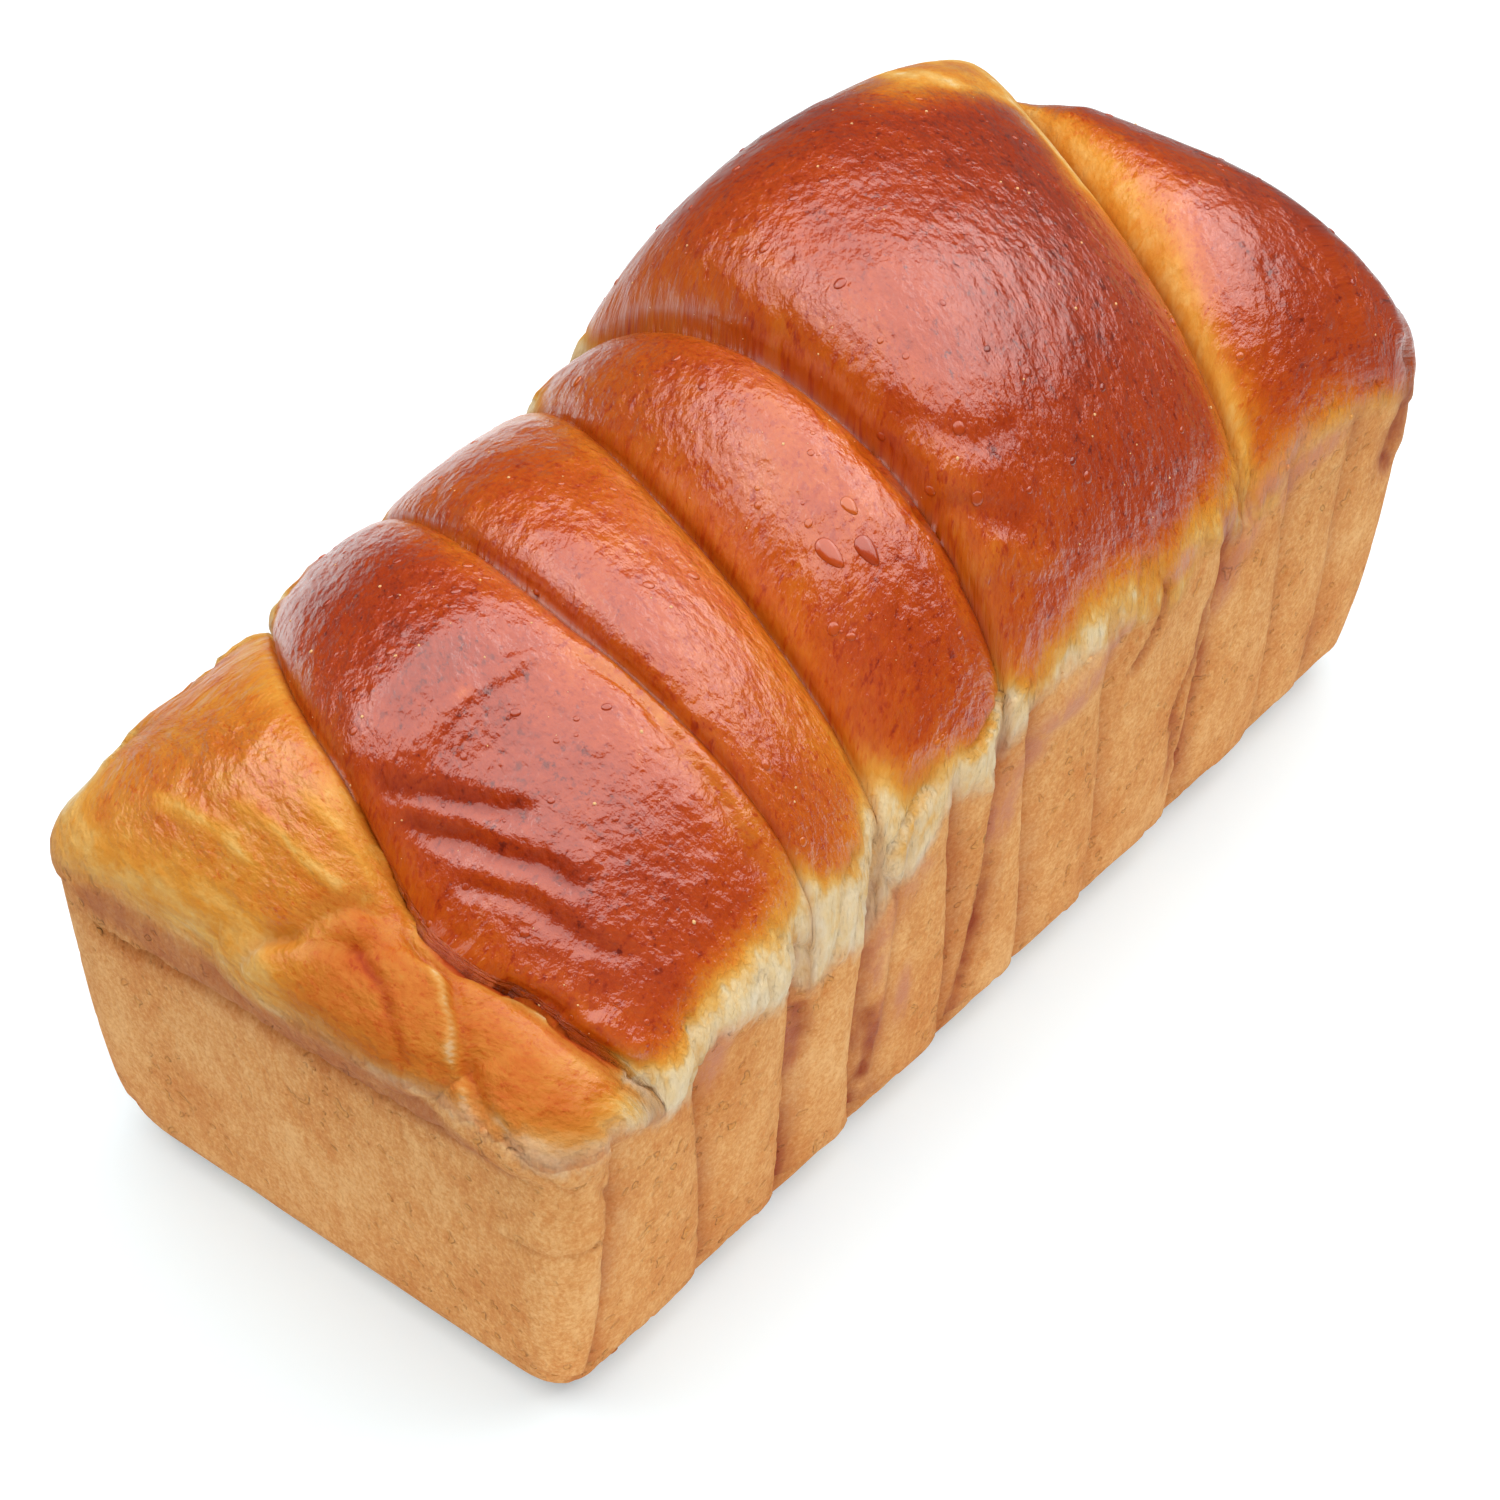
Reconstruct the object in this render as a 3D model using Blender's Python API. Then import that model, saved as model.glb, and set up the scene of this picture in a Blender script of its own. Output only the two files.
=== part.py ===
# Brioche loaf baked in a tapered tin: six dough strands lie across the tin and have risen above its rim.
# Metres, +Z up. X runs along the loaf and Y across it, and positions below are from the middle of the
# tin's base. The finished loaf is then moved so that the origin lies under the middle of its own box.
# The loaf is one closed loft. Its rings follow the creases between the strands, so that each crease is a
# real edge of the solid, and every ring has the tin's wall below and the risen crown above.

import math

import bmesh
import bpy

# The tin, which gives the lower part of the loaf its shape.
BASE_LENGTH = 0.240
BASE_WIDTH = 0.1047
RIM_HEIGHT = 0.069
FLARE = 0.0064              # how far each wall leans out between base and rim
LONG_WALL_BELLY = 0.0018    # how far the dough bellies out of a straight line from base to rim
END_WALL_BELLY = 0.0010
BASE_EDGE_RADIUS = 0.008    # between base and walls
CORNER_RADIUS = 0.010       # upright corners of the tin
RIM_HALF_LENGTH = BASE_LENGTH / 2 + FLARE
RIM_HALF_WIDTH = BASE_WIDTH / 2 + FLARE

# The crown's cross-section is a superellipse: a power of 2 is an ellipse, and more is fuller.
FRONT_FULLNESS = 2.40
BACK_FULLNESS = 1.98
TOP_FULLNESS = 2.0
LEAST_STRAND = 0.006        # narrowest that a slanting strand may get where it meets an end
FULL_STRAND = 0.030         # a strand narrower than this rises less
END_LIP = 0.0015            # how far the risen dough stands proud of the tin at both ends
LIP_REACH = 0.030           # how far up and along the crown that lip fades out

# Creases between strands. centre, slant and bow give the crease's X across the loaf. height is its
# height over the rim on the middle line, and tilt what that gains for each metre of Y.
CREASES = [
    {"name": "near_end", "height": 0.0129, "tilt": 0.057},
    {"name": "a_to_b", "centre": -0.1066, "slant": 0.310, "bow": 0.0229, "height": 0.0190, "tilt": 0.0},
    {"name": "b_to_c", "centre": -0.0612, "slant": 0.174, "bow": 0.0099, "height": 0.0462, "tilt": 0.004},
    {"name": "c_to_d", "centre": -0.0272, "slant": 0.340, "bow": 0.0054, "height": 0.0406, "tilt": 0.055},
    {"name": "d_to_e", "centre": 0.0017, "slant": 0.175, "bow": 0.0003, "height": 0.0505, "tilt": -0.066},
    {"name": "e_to_f", "centre": 0.0888, "slant": 0.608, "bow": 0.0113, "height": 0.0416, "tilt": -0.086},
    {"name": "far_end", "height": 0.0147, "tilt": -0.144},
]
# The first crease drops in front of the middle line, where two tucks of dough lie before the strand.
FIRST_CREASE_STEP = {"crease": 1, "from_y": -0.018, "to_y": 0.008, "rise": 0.0180}

# Strands between those creases. rise is how far the crest stands over the line from crease to crease
# and tilt what that gains for each metre of Y, belly how far the strand swells sideways over the rim,
# back_gain what it adds to BACK_FULLNESS, flatness the power of its rounded back, and crest where along
# the strand its crest lies.
STRANDS = [
    {"name": "a", "rise": 0.0126, "tilt": -0.011, "belly": 0.0035, "back_gain": 0.0, "flatness": 1.75,
     "crest": 0.46, "rings": 10},
    {"name": "b", "rise": 0.0101, "tilt": -0.024, "belly": 0.0048, "back_gain": 0.0, "flatness": 1.95,
     "crest": 0.40, "rings": 12},
    {"name": "c", "rise": 0.0098, "tilt": -0.011, "belly": 0.0010, "back_gain": 0.0, "flatness": 1.90,
     "crest": 0.43, "rings": 10},
    {"name": "d", "rise": 0.0145, "tilt": 0.0, "belly": 0.0019, "back_gain": 0.0, "flatness": 1.95,
     "crest": 0.50, "rings": 11},
    {"name": "e", "rise": 0.0269, "tilt": 0.035, "belly": 0.0028, "back_gain": 0.89, "flatness": 1.90,
     "crest": 0.375, "rings": 20},
    {"name": "f", "rise": 0.0174, "tilt": -0.135, "belly": 0.0023, "back_gain": 0.0, "flatness": 2.70,
     "crest": 0.57, "rings": 12},
]

# Upright steps between the strands on the tin's long walls, as X at the rim and at the base. Each strand
# stands proud at its far side and is drawn in at its near side, under its neighbour.
FRONT_STEPS = [(-0.0960, -0.0897), (-0.0705, -0.0666), (-0.0465, -0.0425), (-0.0255, -0.0185),
               (-0.0030, 0.0050), (0.0200, 0.0300), (0.0482, 0.0515), (0.0755, 0.0782), (0.0975, 0.0995)]
BACK_STEPS = [(-0.0935, -0.0985), (-0.0645, -0.0710), (-0.0385, -0.0470), (-0.0105, -0.0200),
              (0.0150, 0.0075), (0.0430, 0.0345), (0.0710, 0.0625), (0.0985, 0.0905)]
STEP_DEPTH = 0.0026
STEP_REACH = 0.016          # how far past a step the wall takes to come out again

# Level crease on each end wall, under the dough that has risen over the rim.
END_CREASE = {"height": 0.0615, "depth": 0.0018, "half_width": 0.0045, "from_y": -0.040, "to_y": 0.052}

# Tucks of dough that lie on the near end, as seen from that end: middle, half-sizes and thickness.
TUCKS = [
    {"middle": (-0.009, 0.0755), "half_sizes": (0.025, 0.0095), "slope": -0.05, "thickness": 0.0045},
    {"middle": (-0.044, 0.0730), "half_sizes": (0.012, 0.0100), "slope": 0.10, "thickness": 0.0030},
]
TUCK_DEPTH = 0.030          # the tucks reach this far in from the near end

# How many steps each stretch of half a ring has, from the middle of the base to the top of the crown.
BASE_STEPS = 3
EDGE_STEPS = 3
WALL_LEVELS = (0.022, 0.038, 0.051, 0.057, 0.0615, 0.066, RIM_HEIGHT)
CROWN_STEPS = 12
HALF_RING = BASE_STEPS + EDGE_STEPS + len(WALL_LEVELS) + CROWN_STEPS

CRUST_COLOUR = (0.56, 0.24, 0.07, 1.0)
CRUST_ROUGHNESS = 0.42


def smooth_step(low, high, value):
    share = min(1.0, max(0.0, (value - low) / (high - low)))
    return share * share * (3 - 2 * share)


def belly(z):
    return math.sin(math.pi * (min(max(z, 0.0), RIM_HEIGHT) / RIM_HEIGHT) ** 0.75)


def half_length(z):
    # Half the loaf's length at height z.
    level = min(z, RIM_HEIGHT)
    return BASE_LENGTH / 2 + FLARE * level / RIM_HEIGHT + END_WALL_BELLY * belly(level)


def half_width(z):
    return BASE_WIDTH / 2 + FLARE * z / RIM_HEIGHT + LONG_WALL_BELLY * belly(z)


def crease_x(index, y, z):
    limit = half_length(z)
    if index == 0:
        return -limit
    if index == len(CREASES) - 1:
        return limit
    crease = CREASES[index]
    x = crease["centre"] + crease["slant"] * y + crease["bow"] * (y / RIM_HALF_WIDTH) ** 2
    return min(limit - LEAST_STRAND, max(LEAST_STRAND - limit, x))


def crease_height(index, y):
    height = CREASES[index]["height"] + CREASES[index]["tilt"] * y
    if index == FIRST_CREASE_STEP["crease"]:
        share = smooth_step(FIRST_CREASE_STEP["from_y"], FIRST_CREASE_STEP["to_y"], y)
        height += FIRST_CREASE_STEP["rise"] * share
    return max(0.003, height)


def half_ring(step, side, back_gain):
    # One point of half a ring, as its distance from the middle line, its height, and its share of the crown.
    if step <= BASE_STEPS:
        return (BASE_WIDTH / 2 - BASE_EDGE_RADIUS) * step / BASE_STEPS, 0.0, 0.0
    step -= BASE_STEPS
    if step <= EDGE_STEPS:
        turn = math.pi / 2 * step / EDGE_STEPS
        out = BASE_WIDTH / 2 - BASE_EDGE_RADIUS + BASE_EDGE_RADIUS * math.sin(turn)
        return out, BASE_EDGE_RADIUS * (1 - math.cos(turn)), 0.0
    step -= EDGE_STEPS
    if step <= len(WALL_LEVELS):
        z = WALL_LEVELS[step - 1]
        return half_width(z), z, 0.0
    turn = math.pi / 2 * (step - len(WALL_LEVELS)) / CROWN_STEPS
    fullness = FRONT_FULLNESS if side < 0 else BACK_FULLNESS + back_gain
    out = RIM_HALF_WIDTH * max(0.0, math.cos(turn)) ** (2 / fullness)
    return out, RIM_HEIGHT, math.sin(turn) ** (2 / TOP_FULLNESS)


def corner_inset(distance, radius):
    # How far a rounded corner draws the outline in, at this distance from the end wall.
    if distance >= radius:
        return 0.0
    return radius - math.sqrt(radius * radius - (radius - max(0.0, distance)) ** 2)


def step_depth(x, z, steps):
    # How far the long wall is drawn in at x, just past each upright step.
    depth = 0.0
    for rim_x, base_x in steps:
        past = x - (base_x + (rim_x - base_x) * min(1.0, z / RIM_HEIGHT))
        if past > 0:
            depth = max(depth, STEP_DEPTH * max(0.0, 1 - past / STEP_REACH) ** 1.5)
        else:
            depth = max(depth, STEP_DEPTH * max(0.0, 1 + past / 0.004) * 0.5)
    return depth * smooth_step(0.0, 0.012, z)


def end_crease_depth(y, z):
    share = math.exp(-(((z - END_CREASE["height"]) / END_CREASE["half_width"]) ** 2))
    share *= smooth_step(END_CREASE["from_y"], END_CREASE["from_y"] + 0.012, y)
    return END_CREASE["depth"] * share * (1 - smooth_step(END_CREASE["to_y"] - 0.012, END_CREASE["to_y"], y))


def tuck_thickness(x, y, z):
    thickness = 0.0
    for tuck in TUCKS:
        across = y - tuck["middle"][0]
        up = z - tuck["middle"][1] - tuck["slope"] * across
        reach = (across / tuck["half_sizes"][0]) ** 2 + (up / tuck["half_sizes"][1]) ** 2
        if reach < 1:
            thickness = max(thickness, tuck["thickness"] * (1 - reach) ** 0.4)
    return thickness * (1 - smooth_step(0.6 * TUCK_DEPTH, TUCK_DEPTH, x + RIM_HALF_LENGTH))


def end_detail(x, y, z):
    # Lip, level crease and tucks, which move a point of an end along X and a little along Z.
    sign = 1 if x > 0 else -1
    beyond = 0.0
    if z > RIM_HEIGHT:
        near_end = max(0.0, 1 - (RIM_HALF_LENGTH - abs(x)) / LIP_REACH)
        beyond += END_LIP * near_end * math.sin(math.pi * math.sqrt(min(1.0, (z - RIM_HEIGHT) / LIP_REACH)))
    tuck = tuck_thickness(x, y, z) if sign < 0 else 0.0
    return x + sign * (beyond + 0.8 * tuck), y, z + 0.35 * tuck


def loaf_point(index, share, side, step):
    # A point of the crust: index and share say how far along the loaf, side and step where on the ring.
    strand = STRANDS[index]
    leaning = share ** (math.log(0.5) / math.log(strand["crest"]))
    back = math.sqrt(max(0.0, 1 - abs(2 * leaning - 1) ** strand["flatness"]))
    out, z, crown = half_ring(step, side, strand["back_gain"] * back)
    y = side * out
    near_x = crease_x(index, y, z)
    far_x = crease_x(index + 1, y, z)
    x = near_x + (far_x - near_x) * share
    height = crease_height(index, y) * (1 - share) + crease_height(index + 1, y) * share
    height += (strand["rise"] + strand["tilt"] * y) * min(1.0, (far_x - near_x) / FULL_STRAND) * back
    z += height * crown
    from_end = max(0.0, half_length(z) - abs(x))
    if z < 2 * BASE_EDGE_RADIUS:
        z += corner_inset(from_end, BASE_EDGE_RADIUS) * (1 - z / (2 * BASE_EDGE_RADIUS))
    if crown == 0:
        out -= step_depth(x, z, FRONT_STEPS if side < 0 else BACK_STEPS)
    out -= corner_inset(from_end, CORNER_RADIUS) * out / RIM_HALF_WIDTH
    out += strand["belly"] * back * math.sin(math.pi * min(1.0, crown * 1.4)) * (1 - crown)
    return end_detail(x, side * out, z)


def ring_points(index, share):
    # One ring, from the middle of the base up the front, over the crown and down the back.
    front = [loaf_point(index, share, -1, step) for step in range(HALF_RING + 1)]
    back = [loaf_point(index, share, 1, step) for step in range(HALF_RING - 1, 0, -1)]
    return front + back


def close_end(shape, ring):
    # Fills an end of the loft with rows that run from the front half of its ring to the back half.
    columns = 2 * BASE_STEPS
    count = len(ring)
    lower = [ring[(i - BASE_STEPS) % count] for i in range(columns + 1)][::-1]
    for step in range(BASE_STEPS + 1, HALF_RING):
        front = ring[step].co
        back = ring[count - step].co
        row = [ring[step]]
        for i in range(1, columns):
            point = front.lerp(back, i / columns)
            depth = end_crease_depth(point.y, point.z)
            point.x -= depth if point.x > 0 else -depth
            tuck = tuck_thickness(point.x, point.y, point.z) if point.x < 0 else 0.0
            point.x -= 0.8 * tuck * math.sin(math.pi * i / columns)
            row.append(shape.verts.new(point))
        row.append(ring[count - step])
        for i in range(columns):
            shape.faces.new((lower[i], lower[i + 1], row[i + 1], row[i]))
        lower = row
    for i in range(columns):
        shape.faces.new((lower[i], lower[i + 1], ring[HALF_RING]))


def crust_material():
    material = bpy.data.materials.new("brioche_crust")
    material.use_nodes = True
    surface = material.node_tree.nodes["Principled BSDF"]
    surface.inputs["Base Color"].default_value = CRUST_COLOUR
    surface.inputs["Roughness"].default_value = CRUST_ROUGHNESS
    surface.inputs["Metallic"].default_value = 0.0
    return material


def build_loaf(collection):
    shape = bmesh.new()
    rings = []
    for index, strand in enumerate(STRANDS):
        for i in range(0 if index == 0 else 1, strand["rings"] + 1):
            share = (1 - math.cos(math.pi * i / strand["rings"])) / 2
            rings.append([shape.verts.new(point) for point in ring_points(index, share)])
    count = len(rings[0])
    for ring, following in zip(rings, rings[1:]):
        for i in range(count):
            j = (i + 1) % count
            shape.faces.new((ring[i], ring[j], following[j], following[i]))
    close_end(shape, rings[0])
    close_end(shape, rings[-1])
    bmesh.ops.recalc_face_normals(shape, faces=shape.faces)
    for axis in (0, 1):
        places = [vertex.co[axis] for vertex in shape.verts]
        middle = (min(places) + max(places)) / 2
        for vertex in shape.verts:
            vertex.co[axis] -= middle
    mesh = bpy.data.meshes.new("brioche_loaf")
    shape.to_mesh(mesh)
    shape.free()
    mesh.materials.append(crust_material())
    mesh.shade_smooth()
    loaf = bpy.data.objects.new("brioche_loaf", mesh)
    collection.objects.link(loaf)


def main():
    for old in list(bpy.data.objects):
        bpy.data.objects.remove(old, do_unlink=True)
    collection = bpy.data.collections.new("brioche_loaf")
    bpy.context.scene.collection.children.link(collection)
    build_loaf(collection)


main()
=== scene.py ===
import math

import bpy
import numpy as np
from mathutils import Matrix, Vector, noise
from mathutils.bvhtree import BVHTree


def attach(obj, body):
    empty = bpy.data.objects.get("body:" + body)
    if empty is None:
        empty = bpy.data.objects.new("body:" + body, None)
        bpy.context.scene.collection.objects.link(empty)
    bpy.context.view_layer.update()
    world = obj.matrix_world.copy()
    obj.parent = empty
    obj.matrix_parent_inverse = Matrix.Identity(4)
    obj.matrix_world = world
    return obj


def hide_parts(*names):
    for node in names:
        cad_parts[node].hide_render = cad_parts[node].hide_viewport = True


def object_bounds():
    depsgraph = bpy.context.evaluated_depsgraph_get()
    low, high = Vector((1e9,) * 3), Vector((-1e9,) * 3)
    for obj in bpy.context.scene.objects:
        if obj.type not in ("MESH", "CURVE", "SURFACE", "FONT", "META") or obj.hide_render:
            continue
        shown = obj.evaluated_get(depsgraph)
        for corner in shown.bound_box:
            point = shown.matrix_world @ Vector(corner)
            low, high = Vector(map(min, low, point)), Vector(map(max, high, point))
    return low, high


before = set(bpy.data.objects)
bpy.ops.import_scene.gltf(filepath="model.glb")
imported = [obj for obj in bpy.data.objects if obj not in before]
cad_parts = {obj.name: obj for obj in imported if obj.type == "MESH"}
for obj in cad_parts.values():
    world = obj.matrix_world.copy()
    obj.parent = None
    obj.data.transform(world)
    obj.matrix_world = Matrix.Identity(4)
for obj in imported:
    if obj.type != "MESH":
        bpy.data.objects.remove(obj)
cadLow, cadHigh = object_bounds()
print("frame loaded, the solid's box is", [round(v, 4) for v in (*cadLow, *cadHigh)])

mm = 0.001


# The tin that shaped the lower part. Places are from the middle of its base, in metres.
tin = {
    "baseLength": 0.240,
    "baseWidth": 0.1047,
    "rimHeight": 0.069,
    "flare": 0.0064,            # how far a wall leans out between base and rim
    "longBelly": 0.0018,
    "endBelly": 0.0010,
    "edgeRadius": 0.008,        # between base and walls
    "cornerRadius": 0.010,
}
rimHeight = tin["rimHeight"]
rimHalfLength = tin["baseLength"] / 2 + tin["flare"]
rimHalfWidth = tin["baseWidth"] / 2 + tin["flare"]

crown = {
    "frontFullness": 2.40,
    "backFullness": 1.98,
    "leastStrand": 0.006,
    "fullStrand": 0.030,
    "endLip": 0.0015,           # how far the risen dough stands over the tin's ends
    "lipReach": 0.030,
}

# Creases between the strands: x across the loaf is centre + slant * y + bow * (share of width)^2
creases = [
    dict(name="nearEnd", height=0.0129, tilt=0.057),
    dict(name="aToB", centre=-0.1066, slant=0.310, bow=0.0229, height=0.0190, tilt=0.0),
    dict(name="bToC", centre=-0.0612, slant=0.174, bow=0.0099, height=0.0462, tilt=0.004),
    dict(name="cToD", centre=-0.0272, slant=0.340, bow=0.0054, height=0.0406, tilt=0.055),
    dict(name="dToE", centre=0.0017, slant=0.175, bow=0.0003, height=0.0505, tilt=-0.066),
    dict(name="eToF", centre=0.0888, slant=0.608, bow=0.0113, height=0.0416, tilt=-0.086),
    dict(name="farEnd", height=0.0147, tilt=-0.144),
]
firstCreaseStep = {"fromY": -0.018, "toY": 0.008, "rise": 0.0180}

# The strands of dough. bake is how brown each is from its near crease (0) to its far one (1).
strands = [
    dict(name="a", rise=0.0126, tilt=-0.011, belly=0.0035, backGain=0.0, flatness=1.75, crest=0.46, rings=34,
         bake=[(0, 0.29), (0.25, 0.355), (0.55, 0.37), (0.8, 0.31), (0.93, 0.25), (1, 0.32)]),
    dict(name="b", rise=0.0101, tilt=-0.024, belly=0.0048, backGain=0.0, flatness=1.95, crest=0.40, rings=46,
         bake=[(0, 0.56), (0.12, 0.72), (0.3, 0.80), (0.55, 0.79), (0.75, 0.73), (0.86, 0.60), (0.93, 0.47),
               (1, 0.45)]),
    dict(name="c", rise=0.0098, tilt=-0.011, belly=0.0010, backGain=0.0, flatness=1.90, crest=0.43, rings=36,
         bake=[(0, 0.56), (0.2, 0.60), (0.5, 0.54), (0.75, 0.48), (0.92, 0.37), (1, 0.50)]),
    dict(name="d", rise=0.0145, tilt=0.0, belly=0.0019, backGain=0.0, flatness=1.95, crest=0.50, rings=36,
         bake=[(0, 0.46), (0.2, 0.54), (0.5, 0.58), (0.72, 0.57), (0.9, 0.44), (1, 0.52)]),
    dict(name="e", rise=0.0269, tilt=0.035, belly=0.0028, backGain=0.89, flatness=1.90, crest=0.375, rings=74,
         bake=[(0, 0.48), (0.06, 0.56), (0.16, 0.68), (0.4, 0.80), (0.7, 0.82), (0.9, 0.78), (0.97, 0.58),
               (1, 0.38)]),
    dict(name="f", rise=0.0174, tilt=-0.135, belly=0.0023, backGain=0.0, flatness=2.70, crest=0.57, rings=42,
         bake=[(0, 0.12), (0.04, 0.18), (0.10, 0.23), (0.16, 0.32), (0.24, 0.48), (0.34, 0.64), (0.5, 0.70),
               (0.75, 0.78), (1, 0.78)]),
]
strandNumber = {strand["name"]: index for index, strand in enumerate(strands)}

# Upright steps on the long walls, x at the rim and at the base
wallSteps = {
    # side, x at the rim, x at the base, bow between them, share of the depth, how red the tucked dough is
    "lines": [
        (-1, -0.1145, -0.1152, 0.0, 0.6, 0.35), (-1, -0.0932, -0.0850, 0.0, 0.7, 0.30),
        (-1, -0.0668, -0.0630, -0.0015, 1.1, 0.90), (-1, -0.0450, -0.0400, -0.0045, 1.1, 1.00),
        (-1, -0.0378, -0.0385, 0.0, 0.5, 0.45), (-1, -0.0235, -0.0158, 0.0, 0.9, 0.60),
        (-1, -0.0108, -0.0136, 0.0, 0.7, 0.95), (-1, -0.0012, 0.0090, -0.0010, 1.0, 0.35),
        (-1, 0.0215, 0.0290, 0.0, 0.6, 0.15), (-1, 0.0575, 0.0580, -0.0040, 1.0, 1.00),
        (-1, 0.0790, 0.0845, 0.0, 0.6, 0.15), (-1, 0.0985, 0.1005, 0.0, 0.5, 0.35),
        (1, -0.0935, -0.0985, 0.0, 0.9, 0.5), (1, -0.0645, -0.0710, 0.0015, 1.1, 0.9),
        (1, -0.0385, -0.0470, 0.0, 0.9, 0.4), (1, -0.0105, -0.0200, 0.002, 1.1, 0.9),
        (1, 0.0150, 0.0075, 0.0, 0.7, 0.3), (1, 0.0430, 0.0345, 0.0, 1.0, 0.8),
        (1, 0.0710, 0.0625, -0.002, 0.8, 0.5), (1, 0.0985, 0.0905, 0.0, 0.9, 0.7),
    ],
    "depth": 0.0036,
    # millimetres past a step, and how far in, how red and how much painted shade darkens the wall there
    "profile": [(-6, 0), (-3, 0.08), (-1.2, 0.25), (-0.4, 0.55), (0.4, 1.15), (1.2, 1.0), (4, 0.62),
                (8, 0.27), (16, 0)],
    "redness": [(-1.2, 0), (-0.4, 0.5), (0.3, 1), (2, 0.8), (4.5, 0.35), (8, 0)],
    "shade": [(-1.6, 0), (-0.5, 0.6), (0.2, 1), (1.2, 0.7), (3, 0.2), (6, 0)],
    "fadeOver": 0.022,          # the steps run out this far over the rim
}

# Two tucks of dough on the near end: middle (y, z), half-sizes, slope and thickness
tucks = [
    dict(middle=(-0.011, 0.0815), halfSizes=(0.026, 0.0095), slope=-0.10, thickness=0.0042),
    dict(middle=(-0.046, 0.0780), halfSizes=(0.012, 0.0090), slope=-0.05, thickness=0.0026),
]
tuckDepth = 0.030
tuckOut, tuckUp = 0.8, 0.35         # shares of a tuck's thickness that go outwards and upwards

meshDetail = {"base": 6, "edge": 5, "wall": 36, "crown": 96, "end": 24}
endFace = {"middleHeight": 0.036, "smallestRing": 0.985}    # where an end wall's rings close in, and how far


def smoothStep(low, high, value):
    # 0 at low and 1 at high, also where low is the greater
    share = np.clip((value - low) / (high - low), 0.0, 1.0)
    return share * share * (3 - 2 * share)


def bellyOf(z):
    return np.sin(np.pi * (np.clip(z, 0.0, rimHeight) / rimHeight) ** 0.75)


def halfLength(z):
    level = np.minimum(z, rimHeight)
    return tin["baseLength"] / 2 + tin["flare"] * level / rimHeight + tin["endBelly"] * bellyOf(level)


def halfWidth(z):
    return tin["baseWidth"] / 2 + tin["flare"] * z / rimHeight + tin["longBelly"] * bellyOf(z)


def creaseX(index, y, z):
    limit = halfLength(z)
    if index in (0, len(creases) - 1):
        return (limit if index else -limit) + 0 * y
    crease = creases[index]
    x = crease["centre"] + crease["slant"] * y + crease["bow"] * (y / rimHalfWidth) ** 2
    return np.clip(x, crown["leastStrand"] - limit, limit - crown["leastStrand"])


def creaseHeight(index, y):
    height = creases[index]["height"] + creases[index]["tilt"] * y
    if index == 1:
        step = firstCreaseStep
        height = height + step["rise"] * smoothStep(step["fromY"], step["toY"], y)
    return np.maximum(0.003, height)


def ringLayout():
    # round a ring from the middle of the base, up the front, over the crown and down the back
    detail = meshDetail
    flat = tin["baseWidth"] / 2 - tin["edgeRadius"]
    baseShare = np.linspace(0, 1, detail["base"] + 1)
    edgeTurn = np.linspace(0, math.pi / 2, detail["edge"] + 1)[1:]
    wallZ = np.linspace(tin["edgeRadius"], rimHeight, detail["wall"] + 1)[1:]
    crownTurn = np.linspace(0, math.pi / 2, detail["crown"] + 1)[1:]
    out = np.concatenate([flat * baseShare, flat + tin["edgeRadius"] * np.sin(edgeTurn), halfWidth(wallZ),
                          0 * crownTurn])
    z = np.concatenate([0 * baseShare, tin["edgeRadius"] * (1 - np.cos(edgeTurn)), wallZ,
                        rimHeight + 0 * crownTurn])
    turn = np.concatenate([0 * baseShare, 0 * edgeTurn, 0 * wallZ, crownTurn])
    side = np.concatenate([-np.ones(len(out)), np.ones(len(out) - 2)])
    mirrored = [np.concatenate([row, row[-2:0:-1]]) for row in (out, z, turn)]
    return side, *mirrored


def cornerInset(distance, radius):
    short = np.clip(radius - np.clip(distance, 0, None), 0, radius)
    return radius - np.sqrt(radius * radius - short * short)


def stepLine(x, z, side, profile):
    # the strongest value of a profile across the upright steps, weighted by each step's depth or redness
    found = np.zeros_like(x)
    level = np.clip(z / rimHeight, 0, 1.3)
    for lineSide, atRim, atBase, bow, depth, redness in wallSteps["lines"]:
        lineX = atBase + (atRim - atBase) * level + bow * np.sin(np.pi * np.clip(level, 0, 1))
        weight = redness if profile == "redness" else depth
        one = np.interp((x - lineX) / mm, *zip(*wallSteps[profile])) * weight
        found = np.maximum(found, np.where(side == lineSide, one, 0))
    return found


def stepDepth(x, z, side):
    # how far the wall is drawn in, just past each upright step
    fade = smoothStep(0.0, 0.012, z) * (1 - smoothStep(0, wallSteps["fadeOver"], z - rimHeight))
    return wallSteps["depth"] * stepLine(x, z, side, "profile") * fade


def tuckThickness(x, y, z):
    thickness = np.zeros_like(x)
    for tuck in tucks:
        across = y - tuck["middle"][0]
        up = z - tuck["middle"][1] - tuck["slope"] * across
        reach = (across / tuck["halfSizes"][0]) ** 2 + (up / tuck["halfSizes"][1]) ** 2
        thickness = np.maximum(thickness, tuck["thickness"] * np.clip(1 - reach, 0, 1) ** 0.5)
    return thickness * (1 - smoothStep(0.6 * tuckDepth, tuckDepth, x + rimHalfLength)) * (x < 0)


def endLip(z):
    over = np.clip((z - rimHeight) / crown["lipReach"], 0, 1)
    return crown["endLip"] * np.sin(np.pi * np.sqrt(over))


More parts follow.
